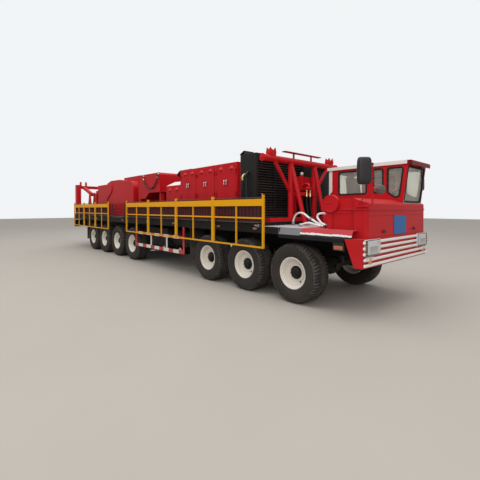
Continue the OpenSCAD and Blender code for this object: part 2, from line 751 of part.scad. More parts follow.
door_x0 = cab_rear_x + 420;
door_x1 = door_x0 + door_len;
door_z0 = front_deck_z - 60;
door_z1 = cab_top - 115;
door_window = [[510, 2090], [1090, 2090], [1090, 2500], [510, 2500]];

module cab_shell() color("#b3151c") {
  difference() {
    cab_solid(0, cab_low, cab_right, half_w);
    cab_solid(cab_wall, front_deck_z + 10, cab_right + cab_wall, half_w - cab_wall);
    for (w = right_windows)
      side_pane(w, 0, cab_right - 1, cab_right + cab_wall + 1);
    for (w = left_windows)
      side_pane(w, 0, half_w - cab_wall - 1, half_w + 1);
    front_pane(screen_window, 0, panel_x - 200, front_x);
    front_pane(rear_window, 0, cab_rear_x - 1, cab_rear_x + cab_wall + 1);
    // Door opening.
    span([door_x0, half_w - cab_wall - 1, door_z0], [door_x1, half_w + 1, door_z1]);
  }
  // Roof with the visor.
  span([cab_rear_x - 30, cab_right - 25, roof_z], [roof_front, half_w, cab_top]);
  side_plate([[roof_front - 1, roof_z], [roof_front - 1, cab_top], [front_x - 12, cab_top - 5],
    [front_x, cab_top - 18], [front_x, cab_top - 95], [front_x - 10, cab_top - 95],
    [front_x - 16, cab_top - 40], [roof_front + 15, roof_z + 5]], cab_right - 25, half_w);
  for (z = door_hinge_zs)
    translate([door_x1 - 14, half_w + 20, z]) hinge_pin(21);
  // Door step in front of the first wheel.
  span([axle1_x + 740, half_w - 190, 880], [axle1_x + 1060, half_w - 20, 905]);
  for (x = [axle1_x + 750, axle1_x + 1020])
    span([x, half_w - 150, 900], [x + 30, half_w - 120, cab_low + 1]);
}

module cab_glass() color("#9fb4ba") {
  g = glass_t / 2;
  mid = cab_wall / 2;
  for (w = right_windows)
    side_pane(w, seat_gap, cab_right + mid - g, cab_right + mid + g);
  for (w = left_windows)
    side_pane(w, seat_gap, half_w - mid - g, half_w - mid + g);
  front_pane(rear_window, seat_gap, cab_rear_x + mid - g, cab_rear_x + mid + g);
  k = screen_lean / (roof_z - screen_bottom);
  xb = screen_base - mid;
  xt = xb + (screen_top - screen_bottom) * k;
  intersection() {
    side_plate([[xb - g, screen_bottom], [xb + g, screen_bottom], [xt + g, screen_top], [xt - g, screen_top]],
      cab_right, half_w);
    front_pane(screen_window, seat_gap, panel_x - 200, front_x);
  }
}

module cab_interior() color("#2b2b2d") {
  ym = (cab_right + half_w) / 2;
  fz = front_deck_z + 10;
  // Seat base, cushion and back.
  span([cab_rear_x + 420, ym - 180, fz], [cab_rear_x + 760, ym + 180, fz + 330]);
  span([cab_rear_x + 380, ym - 240, fz + 330], [cab_rear_x + 850, ym + 240, fz + 450]);
  side_plate([[cab_rear_x + 330, fz + 440], [cab_rear_x + 440, fz + 440],
    [cab_rear_x + 360, fz + 1050], [cab_rear_x + 270, fz + 1050]], ym - 230, ym + 230);
  // Dashboard, column and steering wheel.
  dash_x = screen_base - cab_wall - 15;
  dash_z = screen_bottom + 40;
  side_plate([[dash_x, fz], [dash_x, dash_z], [dash_x - 190, dash_z],
    [dash_x - 270, dash_z - 80], [dash_x - 90, 1750], [dash_x - 90, fz]],
    cab_right + cab_wall, half_w - cab_wall);
  bar([lower_x - 160, ym, 1780], [lower_x - 400, ym, 2020], 26);
  translate([lower_x - 400, ym, 2020]) rotate([0, -45, 0]) {
    rotate_extrude() translate([205, 0]) circle(r = 15, $fn = 16);
    for (a = [90, 210, 330]) rotate([0, 0, a]) span([0, -12, -8], [200, 12, 6]);
    cylinder(r = 40, h = 30, center = true);
  }
}

module cab_door() color("#b3151c") {
  c = 6;
  y0 = half_w - 40;
  difference() {
    span([door_x0 + c, y0, door_z0 + c], [door_x1 - c, half_w, door_z1 - c]);
    side_pane(door_window, 0, y0 - 1, half_w + 1);
  }
  side_pane(door_window, -1, half_w - 24, half_w - 16);
  // Handle.
  span([door_x0 + 60, half_w - 1, 1900], [door_x0 + 90, half_w + 35, 1925]);
  span([door_x0 + 60, half_w + 22, 1900], [door_x0 + 210, half_w + 35, 1925]);
  span([door_x0 + 180, half_w - 1, 1900], [door_x0 + 210, half_w + 35, 1925]);
  for (z = door_hinge_zs)
    translate([door_x1 - c - 8, half_w + 20, z]) hinge_barrel(21);
}

// Plan of the front body with a round right corner, grown outwards by d.
module body_plan(d)
  polygon(concat([[body_rear_x, half_w], [body_rear_x, side_y - d], [block_x - d, side_y - d],
      [block_x + 20 - d, -body_right - d]],
    [for (a = [0:15:90]) [panel_x - corner_r + (corner_r + d) * sin(a),
      -body_right + corner_r - (corner_r + d) * cos(a)]],
    [[panel_x + d, half_w]]));

// Full-width front body with a round nose and the shelf on the right of the cab.
module front_body() color("#b3151c") {
  zb = cab_low;
  w = 12;
  r = 36;
  nose = [for (a = [0:15:90]) [panel_x - r + r * cos(a), nose_top - r + r * sin(a)]];
  intersection() {
    translate([0, 0, zb]) linear_extrude(shelf_z - zb + 1) body_plan(0);
    union() {
      side_plate(concat([[panel_x - 40, zb], [panel_x, zb]], nose, [[panel_x - 40, nose_top]]),
        -body_right, half_w);
      difference() {
        side_plate([[body_rear_x, zb], [panel_x - 38, zb], [panel_x - 38, nose_top], [block_x, shelf_z],
          [body_rear_x, shelf_z]], -body_right, cab_right - 2);
        side_plate([[body_rear_x + w, zb - 1], [panel_x - 60, zb - 1], [panel_x - 60, nose_top - w],
          [block_x, shelf_z - w], [body_rear_x + w, shelf_z - w]], side_y + w, cab_right - 2 - w);
        // Recess of the side below the moulding.
        span([body_rear_x + 70, side_y - 1, front_deck_z + 20], [block_x - 30, side_y + 8, moulding_z - 60]);
      }
    }
  }
  // Waist moulding round the front and the side.
  translate([0, 0, moulding_z]) linear_extrude(22) difference() {
    body_plan(14);
    body_plan(-2);
  }
  // Round intake housing on its post.
  cyl_y([body_rear_x + 40, side_y - 20, 1860], 156, 60);
  side_plate([[body_rear_x - 110, 1860], [body_rear_x + 60, 1860], [body_rear_x + 60, front_deck_z],
    [body_rear_x - 40, front_deck_z]], side_y - 10, side_y + 60);
  // Blank plate and the two lifting handles on the front panel.
  span([panel_x - 1, -135, 1310], [panel_x + 10, 395, 1655]);
  for (y = [-546, 794]) {
    span([panel_x - 1, y - 70, 1370], [panel_x + 30, y + 70, 1390]);
    span([panel_x - 1, y - 14, 1388], [panel_x + 20, y + 14, 1420]);
  }
}

module bumper() color("#b3151c") {
  zt = bumper_z + bumper_h;
  prof = [[bumper_x - 316, zt], [bumper_x - 150, bumper_z], [bumper_x, bumper_z], [bumper_x, zt]];
  for (s = [-1, 1])
    side_plate(prof, s > 0 ? half_w - 12 : -half_w, s > 0 ? half_w : -half_w + 12);
  span([bumper_x - 12, -half_w, bumper_z], [bumper_x, half_w, zt]);
  span([bumper_x - 150, -half_w, bumper_z], [bumper_x, half_w, bumper_z + 12]);
  span([bumper_x - 316, -half_w, zt - 12], [bumper_x, half_w, zt]);
  for (k = [0:4]) {
    z = bumper_z + 45 + k * (bumper_h - 90) / 4;
    e = k > 1 ? half_w - 620 : half_w - 20;
    span([bumper_x - 1, -e, z - 19], [bumper_x + 30, e, z + 19]);
    if (k > 1) for (s = [-1, 1])
      span([bumper_x - 1, s > 0 ? half_w - 60 : -half_w, z - 19],
        [bumper_x + 30, s > 0 ? half_w : -half_w + 60, z + 19]);
  }
  // Mounting beams back to the frame rails.
  both_sides() span([bumper_x - 200, rail_y - 40, rail_top - 300], [bumper_x - 8, rail_y + 40, rail_top - 60]);
}

module lamps() color("#c9cdd0") {
  both_sides() {
    span([bumper_x, half_w - 600, bumper_z + 190], [bumper_x + 40, half_w - 80, bumper_z + 430]);
    span([bumper_x + 30, half_w - 420, bumper_z + 25], [bumper_x + 46, half_w - 240, bumper_z + 65]);
    // Corner lamp under the front deck.
    span([lamp_x0, half_w - 70, lamp_z0], [lamp_x1, half_w - 10, lamp_z1]);
    for (x = marker_xs())
      span([x - 55, half_w, deck_z - 160], [x + 55, half_w + 18, deck_z - 110]);
    // Tail lamps.
    span([tail_x - 40, half_w - 420, rail_top - 230], [tail_x, half_w - 60, rail_top - 90]);
  }
}

function marker_xs() = [axle_x(0) - 920, axle_x(1) - 800, axle_x(2) - 1500, axle_x(3) + 1300,
  axle_x(4) + 665, axle_x(6) + 665, (axle_x(6) + tail_x) / 2];
lamp_x0 = bumper_x - 530;
lamp_x1 = lamp_x0 + 190;
lamp_z0 = front_deck_z - 330;
lamp_z1 = lamp_z0 + 90;

mirror_x = panel_x + 100;
mirror_y = -body_right - 40;
mirror_turn = 48;

module mirrors() color("#17181a") {
  // Right side: foot on the body, bent tube, tall mirror and a round one.
  y = -body_right - 16;
  span([panel_x - 190, -body_right - 12, moulding_z + 40], [panel_x - 100, -body_right, moulding_z + 110]);
  bent([[panel_x - 140, y, moulding_z + 56], [panel_x + 10, y - 14, moulding_z + 66],
    [mirror_x, mirror_y, 1900], [mirror_x, mirror_y, 2490]], 11);
  bent([[panel_x - 150, y, moulding_z + 96], [mirror_x, mirror_y, 2100], [mirror_x - 30, mirror_y + 343, 2090]], 9);
  translate([mirror_x, mirror_y, 0]) rotate([0, 0, mirror_turn]) {
    translate([-132, 20, 2365]) mirror_head(216, 430, 80);
    for (z = [2240, 2470])
      span([-60, -12, z - 12], [8, 8, z + 12]);
  }
  translate([mirror_x - 30, mirror_y + 343, 2090]) rotate([0, 0, mirror_turn]) rotate([90, 0, 0]) {
    cylinder(r = 82, h = 30, center = true);
    cylinder(r = 30, h = 60, center = true);
  }
  // Left side.
  xl = panel_x - 90;
  for (z = [1955, 2612])
    span([xl - 22, half_w, z - 22], [xl + 22, half_w + 10, z + 22]);
  bent([[xl, half_w + 5, 1955], [xl + 10, half_w + 62, 1985], [xl + 10, half_w + 62, 2585],
    [xl, half_w + 5, 2612]], 11);
  translate([xl + 14, half_w + 62, 2300]) rotate([0, 0, 90]) mirror_head(100, 280, 60);
}

// A mirror housing with round corners, its glass side on local Y zero.
module mirror_head(w, h, d) {
  r = w / 5;
  hull() {
    rotate([90, 0, 0]) linear_extrude(d / 2) offset(r = r) square([w - 2 * r, h - 2 * r], center = true);
    rotate([90, 0, 0]) linear_extrude(d) offset(r = r * 0.8) square([w - 4 * r, h - 4 * r], center = true);
  }
}

// The power pack.

module mast_support() color("#b3151c") {
  x = support_x;
  z = support_z;
  base = front_deck_z;
  col = 440;
  cyl_y([x, 0, z], support_r, deck_w);
  both_sides() {
    cyl_y([x, half_w - 8, z], support_r + 10, 16);
    bar([x, col, deck_z + 10], [x, col, z], 62);
    bar([x, 1000, z - 20], [x, col, 2120], 40);
    bar([x, col, z - 30], [x + 350, col - 60, base + 16], 48);
    // Saddle lugs of the mast.
    for (yy = saddle_ys)
      side_plate([[x - 60, z + 50], [x + 60, z + 50], [x + 75, z + 120], [x + 50, z + saddle_h],
        [x, z + saddle_h - 50], [x - 50, z + saddle_h], [x - 75, z + 120]], yy - 12, yy + 12);
    span([x - 60, saddle_ys[0], z + 50], [x + 60, saddle_ys[1], z + 78]);
    span([x + 330, col - 140, base], [x + 420, col + 20, base + 14]);
  }
  // Narrow strip over the tube on two short posts.
  span([x - 50, -680, z + 180], [x + 50, 650, z + 200]);
  for (y = [-340, 310])
    span([x - 15, y - 15, z + 40], [x + 15, y + 15, z + 181]);
  span([x - 45, -col, 2070], [x + 45, col, 2155]);
  // Base beam on the deck.
  span([x - 70, -1180, deck_z], [x + 70, 1180, deck_z + 80]);
}

module hydraulic_tank() color("#b3151c") {
  x0 = support_x - 450;
  x1 = support_x - 120;
  z = 2210;
  span([x0, 140, z], [x1, 500, z + 320]);
  translate([x1 - 60, 200, z + 310]) cylinder(r = 34, h = 50);
  translate([x0 + 90, 380, z + 310]) cylinder(r = 45, h = 60);
  // Stand on the deck with a stay to the mast support.
  for (y = [180, 460])
    span([x0 + 60, y - 25, deck_z], [x0 + 110, y + 25, z + 1]);
  span([x0 + 60, 200, z - 60], [x0 + 110, 440, z - 20]);
  span([x0 + 60, 280, z - 100], [support_x - 45, 360, z - 60]);
}

module radiator() color("#141414") {
  h = radiator_half;
  z0 = deck_z;
  difference() {
    span([radiator_rear, -h, z0], [radiator_front, h, radiator_top]);
    span([radiator_front - 60, -h + 60, z0 + 70], [radiator_front + 1, h - 60, radiator_top - 60]);
  }
  // Louvre slats across the front opening.
  n = 24;
  for (k = [0:n - 1]) {
    z = z0 + 90 + k * (radiator_top - z0 - 180) / (n - 1);
    side_plate([[radiator_front - 50, z + 12], [radiator_front - 46, z + 16],
      [radiator_front - 8, z - 8], [radiator_front - 12, z - 12]], -h + 59, h - 59);
  }
  for (y = [-h / 3, h / 3])
    span([radiator_front - 55, y - 15, z0 + 69], [radiator_front - 5, y + 15, radiator_top - 59]);
  // Rain flap on top and the outlet elbow boss on the right side.
  side_plate([[radiator_rear + 40, radiator_top - 2], [radiator_rear + 60, radiator_top - 2],
    [radiator_rear + 10, radiator_top + 120], [radiator_rear - 140, radiator_top + 40],
    [radiator_rear - 130, radiator_top + 30], [radiator_rear + 5, radiator_top + 100]], -h + 100, -h + 420);
}

module engine_hood() color("#b3151c") {
  t = sheet_t;
  difference() {
    span([hood_rear, -hood_half, deck_z], [hood_front, hood_half, hood_top]);
    span([hood_rear + t, -hood_half + t, deck_z - 1], [hood_front - t, hood_half - t, hood_top - t]);
    // Door openings of the right side.
    for (k = [0:2]) {
      xm = hood_front - (k + 0.5) * pair_pitch;
      span([xm - leaf_w - 8, -hood_half - 1, leaf_z], [xm + leaf_w + 8, -hood_half + t + 1, leaf_z + leaf_h]);
    }
    // Louvre slots of the left side.
    for (k = [0:2], j = [0:7]) {
      xm = hood_front - (k + 0.5) * pair_pitch;
      span([xm - 300, hood_half - t - 1, leaf_z + 60 + j * 88], [xm + 300, hood_half + 1, leaf_z + 100 + j * 88]);
    }
  }
  difference() {
    low_hood(0, deck_z);
    low_hood(t, deck_z - 1);
  }
  // Hinge pins of the door leaves.
  for (k = [0:2], f = [-1, 1], z = leaf_hinge_zs)
    translate([hood_front - (k + 0.5) * pair_pitch + f * (leaf_w - 8), -hood_half - 20, z])
      scale([f, -1, 1]) hinge_pin(20);
  // Cowl between the hood and the radiator.
  span([hood_front - 2, -hood_half + 60, deck_z], [radiator_rear, hood_half - 60, hood_top - 40]);
}

// Low hood with sloping upper edges at its rear and sides, smaller all round by i.
module low_hood(i, z0) {
  h = hood_half - i;
  zt = low_hood_top - i;
  zm = zt + low_hood_rise;
  intersection() {
    side_plate([[low_rear + i, z0], [low_rear + i, zt], [low_rear + i + 160, zm],
      [hood_rear + 1, zm], [hood_rear + 1, z0]], -h, h);
    translate([low_rear, 0, 0]) rotate([90, 0, 90]) linear_extrude(low_hood_len + 2)
      polygon([[-h, z0], [-h, zt], [-h + 200, zm], [h - 200, zm], [h, zt], [h, z0]]);
  }
}

module engine_block() color("#6d7073") {
  span([hood_rear + 350, -330, deck_z], [hood_front - 350, 330, 1900]);
  span([hood_rear + 450, -280, 1899], [hood_front - 450, 280, 2350]);
  both_sides() span([hood_rear + 450, 300, 1960], [hood_front - 450, 480, 2140]);
  both_sides() span([hood_rear + 500, 279, 2050], [hood_front - 500, 330, 2120]);
  cyl_x(hood_rear + 120, hood_rear + 360, 0, 1790, 260);
}

// Hinge pin between two lugs that reach back by d to the sheet, on the side of +X.
module hinge_pin(d) {
  for (z = [-16, 64]) translate([0, 0, z]) {
    span([-8, -9, 0], [16, 9, 12]);
    span([14, -d, 0], [40, 9, 12]);
  }
  translate([0, 0, -10]) cylinder(r = 5, h = 80);
}

// Hinge barrel around that pin, with a strap that reaches back by d to the leaf.
module hinge_barrel(d) {
  difference() {
    union() {
      cylinder(r = 10, h = 56);
      span([-26, -d, 0], [4, -3, 56]);
    }
    translate([0, 0, -1]) cylinder(r = 5 + run_gap, h = 60);
  }
}

// Hood door leaf. Odd leaves hinge at the front edge, even ones at the rear.
module hood_door(n) color("#b3151c") {
  k = floor((n - 1) / 2);
  f = n % 2 == 1;
  xm = hood_front - (k + 0.5) * pair_pitch;
  x0 = f ? xm + 3 : xm - leaf_w;
  x1 = f ? xm + leaf_w : xm - 3;
  y = -hood_half;
  span([x0, y - 6, leaf_z + 5], [x1, y - 6 + leaf_t - 1, leaf_z + leaf_h - 5]);
  for (z = leaf_hinge_zs)
    translate([f ? x1 - 8 : x0 + 8, y - 20, z]) scale([f ? 1 : -1, -1, 1]) hinge_barrel(15);
  gx = f ? x0 + 40 : x1 - 40;
  span([gx - 10, y - 32, leaf_z + 330], [gx + 10, y - 20, leaf_z + 470]);
  span([gx - 10, y - 30, leaf_z + 330], [gx + 10, y - 5, leaf_z + 350]);
  span([gx - 10, y - 30, leaf_z + 450], [gx + 10, y - 5, leaf_z + 470]);
}

module exhaust() color("#1a1a1a") {
  z = hood_top - 20;
  cyl_x(hood_rear - 640, hood_rear - 60, -520, z, 120);
  cyl_x(hood_rear - 800, hood_rear - 630, -520, z, 60);
  cyl_x(hood_rear - 70, hood_rear, -520, z - 40, 60);
  for (x = [hood_rear - 560, hood_rear - 160])
    span([x - 30, -560, low_hood_top + low_hood_rise], [x + 30, -480, z - 90]);
}

// Routes of the two wrapped hoses: x from the mast support, y, z over the front deck.
hose_routes = [
  [[170, -560, 30], [185, -570, 120], [270, -610, 220], [410, -660, 270], [560, -705, 250],
    [690, -745, 185], [890, -805, 105], [1090, -860, 55], [1210, -890, 35]],
  [[1218, -700, 36], [1206, -750, 195], [1128, -826, 262], [1036, -876, 258], [1006, -894, 202],
    [1058, -911, 138], [1132, -931, 84], [1217, -952, 42]]];

module hoses() color("#d9d9d5") {
  // Wrapped white hoses running over the front deck.
  for (route = hose_routes) {
    pts = [for (p = route) [support_x + p[0], p[1], front_deck_z + p[2]]];
    for (k = [0:len(pts) - 2])
      hull() for (p = [pts[k], pts[k + 1]]) translate(p) sphere(r = hose_r, $fn = 14);
    translate([pts[0][0], pts[0][1], front_deck_z + seat_gap]) cylinder(r = hose_r + 10, h = 45);
  }
  // Radiator outlets: elbow, coupling and a long leg down to the deck.
  for (k = [0, 1]) {
    x = radiator_rear + (k == 0 ? 100 : 280);
    z = k == 0 ? 2430 : 2600;
    r = k == 0 ? 38 : 32;
    y = -radiator_half - 0.3;
    translate([x, y, z]) rotate([90, 0, -90])
      rotate_extrude(angle = 90) translate([elbow_r, 0]) circle(r = r);
    translate([x, y - elbow_r, z - 60]) cylinder(r = r + 9, h = 80);
    bar([x, y - elbow_r, z - 30], [x - (k == 0 ? 100 : 0), y - elbow_r, deck_z + 8], r - 8);
  }
}

// The drawworks and the mast base.

module drive_case() color("#b3151c") {
  z0 = case_top - case_h;
  h = hood_half;
  difference() {
    side_plate([[case_rear, z0 - 200], [case_rear + 500, z0 - 200], [case_rear + 800, z0],
      [case_front, z0], [case_front, case_top - 60], [case_front - 60, case_top],
      [case_rear, case_top]], -h, h);
    span([case_rear + 40, -h + 40, z0 + 20], [case_front - 80, h - 40, case_top - 20]);
  }
  both_sides() {
    span([case_rear, h - 140, deck_z], [case_rear + 120, h, z0 - 190]);
    span([case_front - 180, h - 200, deck_z], [case_front - 60, h - 80, z0 + 5]);
    span([case_rear - 28, h - 60, z0 - 220], [case_rear + 1, h + 10, case_top]);
  }
  span([case_rear + 350, -350, deck_z], [case_front - 300, 350, z0 + 5]);
  cyl_x(case_front - 310, low_rear, 0, 1900, 110);
}

module drawworks_frame() color("#8f1218") {
  yi = drum_w / 2 + 110;
  both_sides() {
    difference() {
      union() {
        side_plate([[cover_rear + 30, deck_z], [cover_front - 30, deck_z],
          [cover_front - 30, deck_z + 160], [drum_x + 360, drum_z + 60], [drum_x + 200, drum_z + 200],
          [drum_x - 200, drum_z + 200], [drum_x - 360, drum_z + 60], [cover_mid, deck_z + 300],
          [cover_rear + 30, deck_z + 200]], yi, yi + 40);
        cyl_y([drum_x, yi + 20, drum_z], 150, 120);
      }
      cyl_y([drum_x, yi + 20, drum_z], 70 + run_gap, 140);
    }
  }
  for (x = [cover_front - 160, cover_mid - 200, cover_rear + 60])
    span([x, -yi - 10, deck_z], [x + 100, yi + 10, deck_z + 150]);
  // Brake and clutch housing outside the left side plate.
  cyl_y([drum_x, yi + 130, drum_z], 300, 120);
  // Second drum, fixed in its cover.
  cyl_y([second_drum_x, 0, deck_z + 620], 240, 2 * (yi + 5));
  both_sides() cyl_y([second_drum_x, drum_w / 2 + 60, deck_z + 620], 400, 40);
  for (x = [second_drum_x - 200, second_drum_x + 100])
    both_sides() span([x, yi, deck_z + 150], [x + 100, yi + 40, deck_z + 500]);
}

module main_drum() color("#55585a") {
  translate([drum_x, 0, drum_z]) rotate([90, 0, 0]) {
    difference() {
      rotate_extrude()
        polygon([[0, -drum_w / 2 - 165], [70, -drum_w / 2 - 165], [70, -drum_w / 2 - 30],
          [drum_flange_r, -drum_w / 2 - 30], [drum_flange_r, -drum_w / 2], [drum_r, -drum_w / 2],
          [drum_r, drum_w / 2], [drum_flange_r, drum_w / 2], [drum_flange_r, drum_w / 2 + 30],
          [70, drum_w / 2 + 30], [70, drum_w / 2 + 165], [0, drum_w / 2 + 165]]);
      for (a = [0:60:300]) rotate([0, 0, a]) translate([(drum_r + drum_flange_r) / 2, 0, 0])
        cylinder(r = 35, h = 2 * drum_w, center = true);
    }
  }
}

// Arched covers over the drums, with a raised box over the main one.
module drum_guards() color("#c0141d") {
  t = sheet_t;
  difference() {
    union() {
      main_cover(0, works_half, deck_z);
      span([cover_front - box_back - box_len, -box_half, main_cover_top - 200],
        [cover_front - box_back, box_half, main_cover_top + box_rise]);
      difference() {
        second_cover(0, works_half + 30, deck_z);
        span([cover_mid, -works_half, deck_z - 1], [cover_front, works_half, 3200]);
      }
    }
    main_cover(t, works_half - t, deck_z - 1);
    span([cover_front - box_back - box_len + t, -box_half + t, main_cover_top - 210],
      [cover_front - box_back - t, box_half - t, main_cover_top + box_rise - t]);
    difference() {
      second_cover(t, works_half + 30 - t, deck_z - 1);
      span([cover_mid - 1, -works_half, deck_z - 2], [cover_front, works_half, 3200]);
    }
    // Openings for the side plates, the line and the second drum drive.
    span([cover_rear - 5, -works_half + 150, deck_z - 5],
      [cover_mid + 30, works_half - 150, deck_z + 500]);
  }
}

// Main cover: a sloping rear top and a round front shoulder, smaller all round by i.
module main_cover(i, h, z0) {
  top = main_cover_top - i;
  translate([0, h, 0]) rotate([90, 0, 0]) linear_extrude(2 * h) union() {
    polygon([[cover_mid + i, z0], [cover_mid + i, top - 90], [cover_mid + 440, top],
      [cover_front - 1280, top - 10], [cover_front - 830, top - 70], [cover_front - shoulder_r, top - 110],
      [cover_front - shoulder_r, top - 110 - shoulder_r + i],
      [cover_front - i, top - 110 - shoulder_r + i], [cover_front - i, z0]]);
    translate([cover_front - shoulder_r, top - 110 - shoulder_r + i]) circle(r = shoulder_r - i);
  }
}

// Second cover: its round nose overlaps the sides of the main cover.
module second_cover(i, h, z0) {
  nx = cover_rear + second_cover_len - nose_r;
  nz = second_cover_top - nose_r;
  translate([0, h, 0]) rotate([90, 0, 0]) linear_extrude(2 * h) union() {
    polygon([[cover_rear + i, z0], [cover_rear + i, second_cover_top - 20 - i],
      [cover_rear + 40, second_cover_top - i], [nx, second_cover_top - i], [nx, nz],
      [nx + (nose_r - i) * 0.35, nz - (nose_r - i) * 0.937], [cover_mid + 40, nz - 420 + i],
      [cover_mid + 30, z0]]);
    translate([nx, nz]) circle(r = nose_r - i);
  }
}

module mast_base() color("#b3151c") {
  both_sides() {
    // Post with its foot plate, carrying the cross beam.
    span([rear_x, post_out - post_w, deck_z], [rear_x + post_len, post_out, mast_base_top]);
    span([rear_x, post_out - post_w - 60, deck_z], [rear_x + post_len + 60, post_out + 20, deck_z + 30]);
    side_plate([[rear_x + post_len - 1, deck_z + 30], [rear_x + post_len + 380, deck_z + 30],
      [rear_x + post_len - 1, deck_z + 620]], post_out - post_w / 2 - 15, post_out - post_w / 2 + 15);
    // Pair of hinge lugs of one mast leg.
    for (y = [lug_out, lug_in + lug_t])
      difference() {
        side_plate([[beam_rear, beam_top - 1], [beam_front, beam_top - 1],
          [beam_front, hinge_z + 20], [hinge_x + 50, beam_top + lug_h],
          [hinge_x - 50, beam_top + lug_h], [beam_rear, hinge_z + 20]], y - lug_t, y);
        cyl_y([hinge_x, y - lug_t / 2, hinge_z], mast_bore_r, lug_t + 10);
      }
    // Raising cylinder, parked with its head on a cradle at the front of the beam.
    raising_cylinder();
    span([beam_front - 1, ram_y - 100, beam_top - 160], [beam_front + 130, ram_y - ram_r - 5, beam_top - 20]);
    span([beam_front - 1, ram_y + ram_r + 5, beam_top - 160], [beam_front + 130, ram_y + 100, beam_top - 20]);
  }
  // Cross beam between the posts and floor beam under them.
  span([beam_rear, -post_out + post_w - 1, beam_top - beam_h], [beam_front, post_out - post_w + 1, beam_top]);
  span([rear_x + post_len - 80, -post_out + post_w - 1, deck_z], [rear_x + post_len, post_out - post_w + 1,
    deck_z + 120]);
  // Valve block beside the second cover.
  span([cover_rear - 200, -1060, deck_z], [cover_rear - 110, -940, 2260]);
  span([cover_rear - 260, -1080, 2250], [cover_rear - 60, -920, 2470]);
  translate([cover_rear - 160, -1000, 2460]) cylinder(r = 55, h = 120);
}

// Raising cylinder from its foot bracket on the deck up to the cross beam.
module raising_cylinder() {
  tip = [beam_front + 2, ram_y, beam_top - 90];
  foot = [ram_foot_x, ram_y, ram_foot_z];
  bar(foot, foot + 0.9 * (tip - foot), ram_r);
  bar(foot + 0.8 * (tip - foot), tip, ram_r - 35);
  for (s = [-1, 1])
    side_plate([[ram_foot_x - 330, deck_z], [ram_foot_x + 320, deck_z], [ram_foot_x + 90, ram_foot_z + 90],
      [ram_foot_x - 90, ram_foot_z + 90]], ram_y + s * (ram_r + 20) - 12, ram_y + s * (ram_r + 20) + 12);
  cyl_y(foot, 45, 2 * ram_r + 70);
}

frame();
deck();
axles();
suspension();
cab_shell();
cab_glass();
cab_interior();
front_body();
bumper();
lamps();
mirrors();
mast_support();
hydraulic_tank();
radiator();
engine_hood();
engine_block();
drive_case();
drawworks_frame();
drum_guards();
main_drum();
mast_base();
side_guards();
tanks();
mud_flaps();
ladder();
hoses();
exhaust();
wheel(0, -1);  // wheel_r1
wheel(1, -1);  // wheel_r2
wheel(2, -1);  // wheel_r3
wheel(3, -1);  // wheel_r4
wheel(4, -1);  // wheel_r5
wheel(5, -1);  // wheel_r6
wheel(6, -1);  // wheel_r7
wheel(0, 1);  // wheel_l1
wheel(1, 1);  // wheel_l2
wheel(2, 1);  // wheel_l3
wheel(3, 1);  // wheel_l4
wheel(4, 1);  // wheel_l5
wheel(5, 1);  // wheel_l6
wheel(6, 1);  // wheel_l7
knuckle(0, -1);  // knuckle_r1
knuckle(1, -1);  // knuckle_r2
knuckle(2, -1);  // knuckle_r3
knuckle(0, 1);  // knuckle_l1
knuckle(1, 1);  // knuckle_l2
knuckle(2, 1);  // knuckle_l3
hood_door(1);  // hood_door_1
hood_door(2);  // hood_door_2
hood_door(3);  // hood_door_3
hood_door(4);  // hood_door_4
hood_door(5);  // hood_door_5
hood_door(6);  // hood_door_6
cab_door();
walkway(-1);  // walkway_right
walkway(1);  // walkway_left
railing(-1);  // railing_right
railing(1);  // railing_left
jack_legs();
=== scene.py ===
# Seven-axle rig carrier: looks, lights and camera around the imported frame.
import bpy
import bmesh
import math
import numpy as np
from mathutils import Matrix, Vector


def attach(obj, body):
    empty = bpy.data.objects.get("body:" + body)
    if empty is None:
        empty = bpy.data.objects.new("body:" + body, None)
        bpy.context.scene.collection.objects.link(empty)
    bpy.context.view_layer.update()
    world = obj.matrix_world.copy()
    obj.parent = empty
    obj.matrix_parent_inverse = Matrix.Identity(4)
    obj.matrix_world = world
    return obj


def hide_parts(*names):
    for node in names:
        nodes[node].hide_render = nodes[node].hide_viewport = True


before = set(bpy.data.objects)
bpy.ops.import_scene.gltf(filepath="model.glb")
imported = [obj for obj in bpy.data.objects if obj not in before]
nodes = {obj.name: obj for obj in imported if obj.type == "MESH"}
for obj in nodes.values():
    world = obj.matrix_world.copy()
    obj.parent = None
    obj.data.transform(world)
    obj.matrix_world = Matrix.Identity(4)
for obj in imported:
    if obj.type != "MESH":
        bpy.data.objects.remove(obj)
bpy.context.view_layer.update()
tau = 2 * math.pi

# Camera, light, floor
stageLook = {
    "eye": (9.975, -6.075, 1.773), "yaw": 2.405, "pitch": -0.013, "film": 36, "reach": 400,
    "focalShare": 323.56 / 480, "shiftY": -27 / 480, "floor": (0.42, 0.39, 0.35), "floorShade": 0.92,
    "sky": (0.93, 0.95, 0.97), "skyShown": 0.95, "skyLight": 0.78, "lowGlow": 0.46, "highGlow": 1.08,
}
lampRows = {
    # place, aim, size, watts, tint
    "overhead": ((3, -4, 16), (0, 0, 1), (22, 12), 1750, (1, 0.99, 0.97)),
    "frontRight": ((17, -12, 8), (3, 0, 1.6), (9, 6), 700, (1, 0.98, 0.95)),
    "rearLeft": ((-14, 12, 9), (0, 0, 1.5), (9, 6), 420, (0.95, 0.98, 1)),
}


def makeCamera(look):
    # the focal length is a share of the film width, and the yaw is the heading of the view
    data = bpy.data.cameras.new("photoCamera")
    cam = bpy.data.objects.new("photoCamera", data)
    bpy.context.collection.objects.link(cam)
    data.sensor_width = look["film"]
    data.lens = look["film"] * look["focalShare"]
    data.shift_y = look["shiftY"]
    data.clip_end = look["reach"]
    cam.location = look["eye"]
    cam.rotation_euler = (math.pi / 2 + look["pitch"], 0, look["yaw"] - math.pi / 2)
    bpy.context.scene.camera = cam


